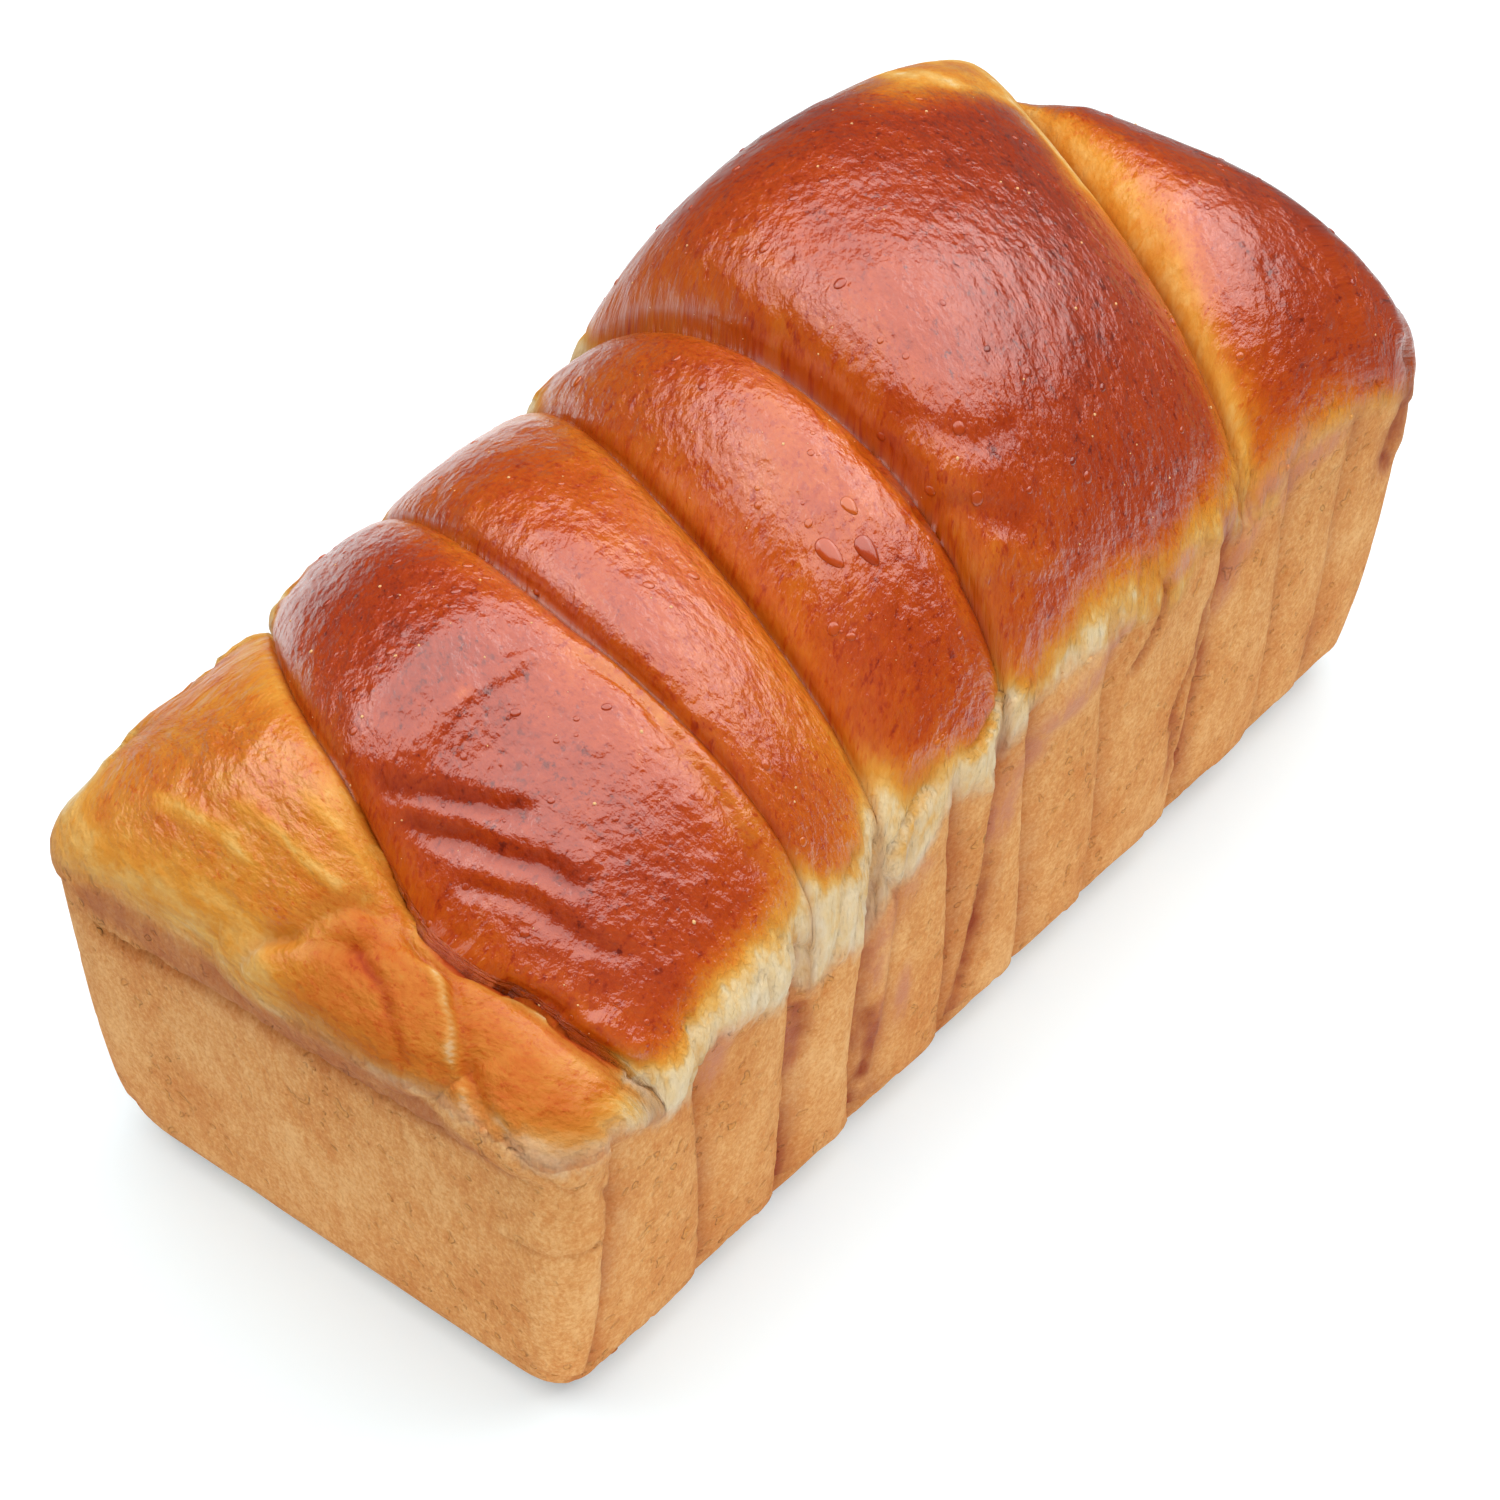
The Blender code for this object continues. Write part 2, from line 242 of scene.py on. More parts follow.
def strandRings(index, layout):
    side, ringOut, ringZ, turn = layout
    strand = strands[index]
    count = strand["rings"]
    even = np.arange(0 if index == 0 else 1, count + 1) / count
    t = (0.6 * (1 - np.cos(np.pi * even)) / 2 + 0.4 * even)[:, None]
    leaning = t ** (math.log(0.5) / math.log(strand["crest"]))
    back = np.sqrt(np.clip(1 - np.abs(2 * leaning - 1) ** strand["flatness"], 0, 1))
    fullness = np.where(side < 0, crown["frontFullness"], crown["backFullness"] + strand["backGain"] * back)
    rounded = rimHalfWidth * np.clip(np.cos(turn), 0, 1) ** (2 / fullness)
    out = np.where(turn > 0, rounded, ringOut)
    rise = np.sin(turn) + 0 * t
    y = side * out
    z = ringZ + 0 * t
    near, far = creaseX(index, y, z), creaseX(index + 1, y, z)
    x = near + (far - near) * t
    height = creaseHeight(index, y) * (1 - t) + creaseHeight(index + 1, y) * t
    risen = (strand["rise"] + strand["tilt"] * y) * back
    height = height + risen * np.minimum(1, (far - near) / crown["fullStrand"])
    z = z + height * rise
    fromEnd = np.clip(halfLength(z) - np.abs(x), 0, None)
    low = np.clip(1 - z / (2 * tin["edgeRadius"]), 0, 1)
    z = z + cornerInset(fromEnd, tin["edgeRadius"]) * low
    out = out - stepDepth(x, z, side)
    out = out - cornerInset(fromEnd, tin["cornerRadius"]) * out / rimHalfWidth
    swell = np.sin(np.pi * np.minimum(1, rise * 1.4)) * (1 - rise)
    out = out + strand["belly"] * back * swell
    y = side * out
    atEnd = np.clip(1 - (rimHalfLength - np.abs(x)) / crown["lipReach"], 0, None)
    tuck = tuckThickness(x, y, z)
    points = np.stack([x + np.sign(x) * (endLip(z) * atEnd + tuckOut * tuck), y, z + tuckUp * tuck], -1)
    centre = creaseX(index, 0.0, rimHeight) * (1 - t) + creaseX(index + 1, 0.0, rimHeight) * t
    facts = {"share": t + 0 * x, "strand": index + 0 * x, "nearEdge": x - near, "farEdge": far - x,
             "across": centre + 0 * x}
    return points, facts


def endRings(outline, facts, sign):
    # rings that shrink towards the middle of an end wall, the last nearly a point
    rings, allFacts = [], []
    for step in range(1, meshDetail["end"] + 1):
        share = endFace["smallestRing"] * step / meshDetail["end"]
        ring = outline * (1 - share) + np.array([0.0, 0.0, endFace["middleHeight"]]) * share
        ring[:, 0] = sign * (halfLength(ring[:, 2]) + endLip(ring[:, 2]))
        ring[:, 0] += sign * tuckOut * tuckThickness(*ring.T)
        rings.append(ring)
        allFacts.append({**facts, "across": facts["across"] + sign * 0.05 * share})
    return rings, allFacts


def loafGrid():
    layout = ringLayout()
    rings, facts = [], []
    for index in range(len(strands)):
        points, some = strandRings(index, layout)
        rings += list(points)
        facts += [{name: values[i] for name, values in some.items()} for i in range(len(points))]
    nearRings, nearFacts = endRings(rings[0], facts[0], -1)
    farRings, farFacts = endRings(rings[-1], facts[-1], 1)
    rings = nearRings[::-1] + rings + farRings
    facts = nearFacts[::-1] + facts + farFacts
    grid = np.array(rings)
    gathered = {name: np.array([fact[name] for fact in facts]) for name in facts[0]}
    gathered["side"] = layout[0] + 0 * gathered["share"]
    lengths = np.linalg.norm(np.diff(grid, axis=1), axis=2)
    around = np.concatenate([np.zeros((len(grid), 1)), np.cumsum(lengths, axis=1)], axis=1)
    top, end = grid.shape[1] // 2, meshDetail["end"]
    around = around - around[:, top:top + 1]
    around[:end], around[-end:] = around[end], around[-end - 1]
    gathered["around"] = around
    gathered["endWall"] = np.zeros_like(around)
    gathered["endWall"][:end] = gathered["endWall"][-end:] = 1
    return grid, gathered


def gridFaces(ringCount, ringSize):
    # quads between rings, and a fan to one point in the middle of each end wall
    step = np.arange(ringSize)
    following = (step + 1) % ringSize
    low = np.arange(ringCount - 1)[:, None] * ringSize
    high = low + ringSize
    quads = np.stack([low + step, low + following, high + following, high + step], -1).reshape(-1, 4)
    poles = ringCount * ringSize
    last = poles - ringSize
    fans = np.concatenate([np.stack([following, step, 0 * step + poles], -1),
                           np.stack([last + step, last + following, 0 * step + poles + 1], -1)])
    return quads, fans


def vertexNormals(points, quads, fans):
    normals = np.zeros_like(points)
    # across a quad's diagonals, and along a triangle's first and last sides
    for faces, ends in ((quads, (0, 2, 1, 3)), (fans, (0, 1, 0, 2))):
        a, b, c, d = (points[faces[:, end]] for end in ends)
        areas = np.cross(b - a, d - c)
        for corner in faces.T:
            np.add.at(normals, corner, areas)
    lengths = np.linalg.norm(normals, axis=1, keepdims=True)
    return normals / np.maximum(lengths, 1e-12)


def softNoise(points, size, seed):
    spots = points / size + np.array([seed * 7.3, seed * 3.1, -seed * 5.7])
    return np.array([noise.noise(spot) for spot in spots.tolist()])


def smoothPath(path, steps=8):
    # a rounded line through given points
    points = [Vector(p) for p in path]
    points = [points[0] * 2 - points[1]] + points + [points[-1] * 2 - points[-2]]
    found = []
    for a, b, c, d in zip(points, points[1:], points[2:], points[3:]):
        for i in range(steps):
            t = i / steps
            found.append(0.5 * (2 * b + (c - a) * t + (2 * a - 5 * b + 4 * c - d) * t ** 2
                                + (3 * b - a - 3 * c + d) * t ** 3))
    found.append(points[-2])
    return np.array([list(p) for p in found])


def strokeReach(points, normals, path, reach):
    # for points near a line on the crust: distance to it with its side's sign, and share along it
    line = smoothPath(path) * mm
    lengths = np.linalg.norm(np.diff(line, axis=0), axis=1)
    total = lengths.sum()
    low = line.min(0) - reach
    high = line.max(0) + reach
    near = np.where(((points > low) & (points < high)).all(1))[0]
    spots = points[near]
    best = np.full(len(near), 1e9)
    signed = np.full(len(near), 1e9)
    along = np.zeros(len(near))
    passed = 0.0
    for start, end, length in zip(line, line[1:], lengths):
        direction = (end - start) / length
        reached = np.clip((spots - start) @ direction, 0, length)
        offset = spots - start - reached[:, None] * direction
        lift = (offset * normals[near]).sum(1)
        flat = offset - lift[:, None] * normals[near]
        distance = np.sqrt((flat ** 2).sum(1) + (0.3 * lift) ** 2)
        sign = np.sign((np.cross(direction, offset) * normals[near]).sum(1))
        closer = distance < best
        best = np.where(closer, distance, best)
        signed = np.where(closer, distance * np.where(sign == 0, 1, sign), signed)
        along = np.where(closer, (passed + reached) / total, along)
        passed += length
    return near, signed, along


# Folds and ridges traced on the crust, in millimetres from the middle of the tin's base. depth pushes in,
# width is half the valley, lip raises the dough on one side (+ left of the path's direction, - right).
# dim sets painted shade along a fold's valley; shadeBelow widens that painted shade on the right side, under
# a lip
folds = {
    "bRidge": dict(depth=-1.1, width=1.3, tone=-0.05, path=[(-70, -8, 118), (-81, -5.5, 119),
        (-92, -4, 117), (-100, -4, 113)]),
    "bValley1": dict(depth=1.3, width=1.5, lip=0.5, tone=0.03, path=[(-105, 1, 108), (-103, -2, 108),
        (-95.5, -14, 107), (-93, -20, 107), (-91, -25, 107)]),
    "bValley2": dict(depth=1.4, width=1.4, lip=0.6, tone=0.04, path=[(-105, -5, 104), (-99.5, -18.5, 103),
        (-96, -29.5, 102.5), (-95, -38, 99.5)]),
    "bValley3": dict(depth=1, width=1.3, lip=0.4, tone=0.03, path=[(-106, -16, 98.5), (-101, -31, 98.5),
        (-100, -38, 96), (-95, -48, 92)]),
    "bBand": dict(depth=0.9, width=1.3, lip=0.3, tone=-0.05, path=[(-68, -8, 118), (-66.5, -21, 116),
        (-68, -36, 109), (-68.5, -47, 100), (-69, -56, 90)]),
    "eValley1": dict(depth=0.55, width=3.2, lip=0.2, tone=0.05, path=[(-1, -22, 130), (1, -29, 130.5),
        (3, -34, 129.5), (7, -38.5, 128), (15, -41, 126)]),
    "eValley2": dict(depth=0.6, width=2.6, lip=0.25, tone=0.05, path=[(-4, -35, 118), (-2.5, -40, 121),
        (2, -45.5, 118), (8, -49, 114)]),
    "eLump1": dict(depth=0.5, width=2.4, lip=0.3, tone=0.05, path=[(-9, -20, 122), (-5, -24, 125),
        (-3, -32, 124), (-5, -40, 118)]),
    "eLump2": dict(depth=-0.5, width=2.4, tone=-0.05, path=[(-6, -46, 108), (0, -47, 113), (5, -52, 108),
        (12, -52, 107)]),
    "bCrumb": dict(depth=-0.5, width=0.8, tone=-0.45, path=[(-84, -5.2, 119), (-86, -4.6, 118.8),
        (-89, -4.4, 118)]),
    "aRidge1": dict(depth=-0.6, width=1.3, tone=-0.14, path=[(-117, 38, 92), (-118.5, 32, 94),
        (-119.5, 19, 97), (-121.5, 7, 95)]),
    "aRidge2": dict(depth=-0.5, width=1.2, tone=-0.12, path=[(-115, 22, 101), (-116.5, 8.5, 101.5),
        (-117, -2.5, 98), (-118, -6, 96)]),
    "aRidge3": dict(depth=-0.5, width=1, tone=-0.1, path=[(-110, 10, 105), (-111, 5, 105), (-112, -3, 101),
        (-113, -8.5, 96)]),
    "tuckTop": dict(depth=1.5, width=1.6, lip=-0.8, tone=-0.05, path=[(-130, 9, 80), (-127, 5, 86),
        (-124, -1, 91), (-118, -6, 95), (-114.5, -13, 93)]),
    "tuckRight": dict(depth=1.6, width=1.4, lip=-0.9, tone=0.02, path=[(-114.5, -13, 93), (-115, -21, 91),
        (-116, -27, 90), (-120, -31.5, 88), (-125, -38, 83), (-128, -45, 78)]),
    "tuckSlit": dict(depth=1.1, width=0.8, lip=0.5, tone=0.28, path=[(-120, -9, 92), (-121.5, -12.5, 90.5),
        (-123, -19, 88), (-125.5, -24, 85), (-128, -29, 82)]),
    "strandLip": dict(depth=1.5, width=1.1, lip=0.9, path=[(-114, -24, 91), (-110, -31, 88),
        (-108, -38, 88), (-107.5, -45, 85), (-106, -50, 82), (-103, -57, 78)]),
    "nearLip": dict(depth=2.4, width=1.5, lip=1.5, tone=0.06, shadeBelow=4, dim=1, path=[(-124.5, 53, 61),
        (-125, 39, 63), (-125.5, 26, 64.5), (-126, 13, 65.5), (-126, -5, 67), (-127, -30, 69.5),
        (-127, -44, 71)]),
    "nearEdge": dict(depth=-0.7, width=1, tone=-0.12, path=[(-128, 48, 73.5), (-128.6, 37, 73),
        (-129, 22, 75), (-131, 7, 78), (-132, -11, 79), (-131.4, -29, 79), (-129.5, -43, 77)]),
    "lipRim": dict(depth=-0.7, width=0.9, tone=-0.22, path=[(-112, -25, 89.5), (-112, -32, 86),
        (-110, -39, 86), (-109.5, -45, 83), (-108, -51, 80), (-105, -58, 76)]),
    "tuckRim": dict(depth=-0.7, width=0.9, tone=-0.2, path=[(-116.5, -20, 92), (-118, -26, 91),
        (-122, -31, 89), (-127, -37, 84), (-130, -43, 79)]),
    "nearArc": dict(depth=0.8, width=0.9, lip=0.5, path=[(-125, -42, 47), (-124, -53, 49.4),
        (-118, -57.3, 48.2), (-113.2, -56.6, 52)]),
    "nearTear": dict(depth=0.8, width=0.8, lip=0.6, tone=-0.1, path=[(-126, -41, 82), (-128, -52, 75.3),
        (-120.5, -57.5, 63.7)]),
    "cornerCrease": dict(depth=0.8, width=0.9, lip=0.4, path=[(-118, -58.4, 67), (-113.2, -56.6, 53.4),
        (-116.2, -56.9, 37)]),
    "flapD": dict(depth=1.1, width=0.9, lip=0.9, tone=-0.03, dim=0.25, path=[(-26.6, -58, 86.4),
        (-33.6, -58, 83.8), (-40.9, -57.7, 76), (-36.7, -57.3, 63.6)]),
    "flapE": dict(depth=1.1, width=0.9, lip=0.9, tone=-0.03, dim=0.25, path=[(-2.9, -58, 93),
        (-10.7, -57.7, 88), (-22.7, -58.2, 86)]),
    # smooth mauve stripes and dark red crevices on the front wall; dim on a crevice adds painted shade
    "stripeF": dict(depth=-0.4, width=2.6, mauve=1, path=[(87, -58.3, 89), (80, -58.6, 87), (73, -58.1, 84),
        (68, -58.6, 80), (66, -58.3, 75), (61.3, -57.2, 67), (57.8, -56.2, 57.7)]),
    "creviceF": dict(depth=1, width=1.1, lip=0.4, red=1, path=[(56, -58, 72), (53, -58.5, 62),
        (52.4, -58, 54), (47.6, -57.8, 44.6), (50, -55, 30), (49.3, -55.8, 19.6)]),
    "stripeE": dict(depth=-0.3, width=2.6, mauve=0.9, path=[(28, -59.8, 85.4), (18.6, -59.4, 80.2),
        (8.6, -59.2, 77.9), (0.8, -56.8, 71.5)]),
    "tearE": dict(depth=1, width=0.9, lip=0.5, red=0.9, path=[(38.5, -60, 86), (37.3, -60, 82.4),
        (35, -59.1, 75.1), (30, -58.5, 66)]),
    "creviceC": dict(depth=0.6, width=2.2, red=1, dim=0.7, path=[(-43.1, -55.8, 42), (-39.8, -55.5, 27.1),
        (-40.2, -54.4, 20.5), (-39.9, -53.3, 13.9)]),
    "creviceB": dict(depth=0.5, width=2.2, red=0.9, dim=0.5, path=[(-63.3, -56.6, 60.9),
        (-62.8, -56.4, 51.5), (-65, -55.2, 43.5)]),
    "creviceE": dict(depth=0.5, width=1.9, red=1, dim=0.6, path=[(-8.7, -56.6, 53), (-9.7, -55.8, 40),
        (-10.6, -55.1, 28.5), (-11.8, -53.4, 12)]),
    "stripeD": dict(depth=-0.3, width=2.4, mauve=0.8, path=[(-29, -58.6, 70.7), (-34.5, -57.7, 64.6),
        (-41.3, -56.9, 56), (-42.4, -56.2, 42.3)]),
    "stripeDE": dict(depth=-0.3, width=2.6, mauve=0.9, path=[(12.3, -59.5, 81.4), (5, -58.8, 74.2),
        (-4.7, -57.8, 69), (-7.1, -57.2, 56.8)]),
    "farTear": dict(depth=1.6, width=3, lip=0.9, mauve=0.5, red=1, dim=0.8, path=[(119, -57, 88),
        (120, -57, 80), (119, -57, 72), (116, -58, 62), (118, -57, 54)]),
}


# Long low blisters on strand d: middle (x, y), half-sizes along and across, turn in degrees, height
drops = [
    dict(middle=(-24.8, -31.0), halfSizes=(3.0, 1.5), turn=-107, height=0.55),
    dict(middle=(-20.3, -35.4), halfSizes=(2.8, 1.5), turn=-104, height=0.60),
    dict(middle=(-17.2, -29.1), halfSizes=(1.8, 1.1), turn=-104, height=0.40),
]


def foldRelief(points, normals):
    # how far each fold moves the crust along its normal, and what it does to the tones, including painted
    # shade along its valley
    height, tone, shade, mauve, red = (np.zeros(len(points)) for _ in range(5))
    for number, fold in enumerate(folds.values()):
        depth, width, lip = fold["depth"], fold["width"], fold.get("lip", 0)
        near, signed, along = strokeReach(points, normals, fold["path"], 12 * mm)
        wobble = softNoise(points[near], 6 * mm, 20 + number) * 0.8 * mm
        signed = (signed + wobble) / mm
        ends = smoothStep(0, 0.15, along) * smoothStep(1, 0.85, along)
        valley = np.exp(-(signed / width) ** 2) * ends
        raised = np.clip(np.sign(lip) * signed, 0, None) / (1.6 * width)
        height[near] += (abs(lip) * raised * np.exp(-raised) * math.e * ends - depth * valley) * mm
        tone[near] += fold.get("tone", 0) * valley
        # painted shade along the valley, reaching shadeBelow millimetres on the right side
        under = np.where(signed < 0, fold.get("shadeBelow", width), width)
        dim = fold.get("dim", min(max(depth / 2.4, 0), 1)) * np.exp(-(signed / under) ** 2) * ends
        shade[near] = np.maximum(shade[near], dim)
        patchy = np.clip(0.85 + 0.9 * softNoise(points[near], 4 * mm, 50 + number), 0, 1) * valley ** 0.6
        mauve[near] = np.maximum(mauve[near], fold.get("mauve", 0) * patchy)
        red[near] = np.maximum(red[near], fold.get("red", 0) * patchy)
    return height, tone, shade, mauve, red


# Heights over the rim, in millimetres, of the bands on each face: the top of the tan wall, the middle of
# the pale break line, and where the crust turns gold. Places are x along the loaf, in millimetres.
bands = {
    "frontTan": [(-128, 5), (-114, 5), (-104, -1), (-93, -4), (-91, 6), (-83, 6), (-71, -2), (-66, -3),
        (-61, -8), (-55, -4), (-46, -9), (-44, -11), (-39, -3), (-33, 0), (-27, 9), (-22, 7), (-12, 3),
        (-4, 11), (-2, 16), (11, 16), (22, 13), (33, 10), (41, 8), (49, 15), (56, 11), (62, 7), (73, 9),
        (77, 15), (89, 15), (104, 11), (115, 5), (128, -1)],
    "frontCream": [(-128, 8), (-103, 8), (-94, 13), (-88, 15), (-78, 16), (-60, 14), (-51, 13), (-38, 16),
        (-9, 18), (6, 21), (17, 23), (50, 23), (66, 18), (81, 18), (104, 15), (115, 9), (128, 3)],
    "frontGold": [(-128, 12), (-106, 12), (-104, 10), (-95, 15), (-87, 18), (-69, 21), (-60, 18), (-51, 18),
        (-38, 22), (-13, 20), (2, 27), (12, 30), (22, 30), (31, 29), (40, 26), (59, 26), (73, 24), (90, 24),
        (101, 20), (115, 13), (128, 7)],
    "backTan": [(-128, 4), (-95, 8), (-94, 2), (-66, 5), (-63, -2), (-40, 6), (-36, 0), (-12, 8), (-9, 1),
        (14, 12), (18, 6), (42, 12), (46, 5), (70, 12), (74, 6), (96, 12), (128, 4)],
    "backCream": [(-128, 12), (-60, 17), (0, 21), (60, 22), (128, 14)],
    "backGold": [(-128, 18), (-60, 22), (0, 27), (60, 27), (128, 20)],
    # on the near end, places are y across the loaf
    "nearTan": [(-56, 5), (-50, 8), (-42, 10), (-30, 10), (-8, 10), (2, 8), (27, 7.5), (38, 7.5), (50, 5)],
    "nearCream": [(-56, 8), (-42, 12), (-30, 12.5), (-8, 14), (7, 15), (16, 15), (37, 14), (50, 11)],
    "nearGold": [(-56, 11), (-42, 13), (-30, 14), (-21, 14.5), (-3, 19), (1, 23), (11, 25), (23, 25),
        (39, 22), (47, 18)],
    "farTan": [(-56, -1), (-20, 2), (20, 4), (56, 3)],
    "farCream": [(-56, 3), (-20, 7), (20, 9), (56, 8)],
    "farGold": [(-56, 7), (-20, 12), (20, 14), (56, 14)],
    "creaseRise": 5,            # the pale band climbs this much into each crease
}

# Smooth mauve patches where the front wall was pressed: x, height over the rim, half-sizes, in millimetres
mauvePatches = [
    (18, 9, 5, 4), (10, 6.5, 6, 4), (1, 0, 5, 5), (-7, -9, 4, 6), (86, 12, 10, 3), (78, 9, 3, 5),
    (42, 17, 5, 2.5), (59, 14, 4, 3), (-88, 0, 3, 8), (-64, -18, 2, 9), (-39, -38, 2, 10), (-33, -33, 2, 8),
]

# How brown the parts of the crust are on the scale of bakeTones, where 0 is cream and 1 the darkest
browning = {
    "palest": 0.03, "overTan": 0.07, "towardsFarEnd": 0.13, "goldBand": 0.24, "crown": 0.10, "mottle": 0.05,
    "lowOnD": 0.12, "backOfE": 0.54, "seamOfE": 0.60, "leastOnE": 0.17, "nearEnd": 0.20, "hollow": 0.62,
}
fieldNames = ("brown", "red", "mauve", "edge", "band", "shade", "dullShaded")


def bandHeights(points, facts, name):
    x, y = points[:, 0] / mm, points[:, 1] / mm
    front, back = (np.interp(x, *zip(*bands[side + name])) for side in ("front", "back"))
    sides = front + (back - front) * smoothStep(-20, 20, y)
    end = np.where(x < 0, *(np.interp(y, *zip(*bands[side + name])) for side in ("near", "far")))
    fromEnd = rimHalfLength - np.abs(points[:, 0])
    atEnd = smoothStep(0.018, 0.006, fromEnd) * smoothStep(0.060, 0.048, np.abs(points[:, 1]))
    return sides + (end - sides) * np.maximum(atEnd, facts["endWall"])


def besideCreases(facts, nearReach, farReach):
    # 1 in a crease, falling off over these millimetres after a strand's near crease and before its far one
    near, far = facts["nearEdge"] / (nearReach * mm), facts["farEdge"] / (farReach * mm)
    return np.exp(-near ** 2) + np.exp(-far ** 2)


def crustFields(points, facts):
    # the numbers that the material reads at each point of the crust
    x, y, z = (points / mm).T
    height = z - rimHeight / mm
    share, endWall, onSides = facts["share"], facts["endWall"], 1 - facts["endWall"]
    on = {name: facts["strand"] == number for name, number in strandNumber.items()}
    slow = softNoise(points, 22 * mm, 1)
    upright = points * np.array([1, 1, 0.45])
    ragged = softNoise(upright, 3.6 * mm, 2) + 0.6 * softNoise(upright, 1.7 * mm, 3)
    tan, cream, gold = (bandHeights(points, facts, name) for name in ("Tan", "Cream", "Gold"))
    pastCorner = smoothStep(-102, -90, x)
    sideways = smoothStep(34, 54, np.abs(y)) * np.maximum(pastCorner, smoothStep(-46, -54, y))
    level = height - bands["creaseRise"] * besideCreases(facts, 4, 4) * sideways + 3.0 * slow + 0.7 * ragged
    wall = smoothStep(tan + 1.8, tan - 1.8, height + 1.8 * ragged)

    # how brown: the strand's own bake over the gold line, paler bands below it
    soon = 1 + 1.3 * on["f"] * smoothStep(-20, -48, y)
    peak = np.zeros(len(points))
    for strand in strands:
        inside = on[strand["name"]]
        peak[inside] = np.interp((share * soon)[inside], *zip(*strand["bake"]))
    pale = browning["palest"] + browning["overTan"] * smoothStep(tan - 2, cream, level)
    pale = pale + browning["towardsFarEnd"] * smoothStep(12, 35, x)
    golden = pale + browning["goldBand"] * smoothStep(cream - 2.5, gold + 1, level)
    turned = smoothStep(gold - 2, gold + 5, level)
    deep = 1 - browning["crown"] * smoothStep(gold + 34, gold + 4, level)
    full = golden + (peak * deep - golden) * turned
    brown = np.where(peak < golden, np.minimum(golden, np.maximum(peak, pale)), full)
    lowOnD = browning["lowOnD"] * on["d"] * smoothStep(-28, -44, y)
    brown = brown + (browning["mottle"] * slow + lowOnD) * turned

    # the pale back and far seam of strand e, and the pale near end
    streaky = softNoise(np.stack([facts["across"], facts["around"] * 0.3, 0 * slow], -1), 5 * mm, 31)
    rear = smoothStep(0.42, 0.66, share) * smoothStep(10, 26, y + 25 * (share - 0.6) + 5 * slow)
    seam = smoothStep(0.80, 0.94, share + 0.05 * streaky) * smoothStep(-26, -6, y)
    paler = np.maximum(browning["backOfE"] * rear, browning["seamOfE"] * seam)
    paler = on["e"] * turned * paler * (1 - 0.25 * streaky)
    brown = np.where(paler > 0.02, np.maximum(brown - paler, browning["leastOnE"]), brown)
    nearEnd = smoothStep(-112, -124, x) * smoothStep(-30, -10, y)
    brown = brown + nearEnd * np.clip(browning["nearEnd"] - brown, 0, 1)

    # tucked red dough by the upright steps, and smooth mauve patches
    red = stepLine(points[:, 0], points[:, 2], facts["side"], "redness") * onSides
    patchy = np.clip(0.75 + 1.1 * softNoise(points * np.array([1, 1, 0.4]), 7 * mm, 8), 0, 1.2)
    red = red * patchy * smoothStep(cream + 2, tan - 2, height) * smoothStep(0, 10, z)
    lipBand = smoothStep(-3.5, -0.5, height) * smoothStep(tan + 2, tan - 2, height) * endWall * (x < 0)
    red = np.maximum(1.25 * red, 0.70 * lipBand)
    mauve = np.zeros(len(points))
    for middle, over, halfLong, halfHigh in mauvePatches:
        reach = ((x - middle) / halfLong) ** 2 + ((height - over) / halfHigh) ** 2
        mauve = np.maximum(mauve, np.exp(-reach ** 2) * (facts["side"] < 0) * onSides)

    # dull dough on the near tucks, which also gets painted shade; the hollow between strands a and b, painted
    # browner and with painted shade; and painted shade in the creases and by the upright steps
    dullShaded = smoothStep(-108, -122, x) * smoothStep(4, -12, y)
    besideB = on["a"] * smoothStep(0.76, 0.88, share) * smoothStep(-10, -24, y)
    dullShaded = np.maximum(dullShaded, besideB) * (height > tan)
    brown = brown - 0.03 * dullShaded * turned
    hollow = on["a"] * smoothStep(0.90, 0.96, share) * smoothStep(-14, -22, y) * smoothStep(-56, -50, y)
    brown = brown + hollow * np.clip(browning["hollow"] - brown, 0, 1)
    # painted shade by the upright steps and in the creases between strands
    shade = stepLine(points[:, 0], points[:, 2], facts["side"], "shade")
    shade = shade * smoothStep(cream + 4, tan - 4, height)
    creased = np.clip(besideCreases(facts, 1.0, 1.6), 0, 1) * (height > tan) * (np.abs(x) < 120)
    creased = creased * np.maximum(pastCorner, smoothStep(-56, -48, y))
    shade = np.maximum(0.8 * shade, 0.7 * creased) * onSides
    shade = np.maximum.reduce([shade, 0.85 * dullShaded, 0.9 * hollow])
    edge = np.clip((height - tan) / 10, -2, 2)
    return {"brown": brown, "wall": wall, "red": red, "mauve": mauve, "edge": edge, "shade": shade,
            "dullShaded": dullShaded, "height": height, "tan": tan, "cream": cream, "gold": gold, "ragged": ragged}


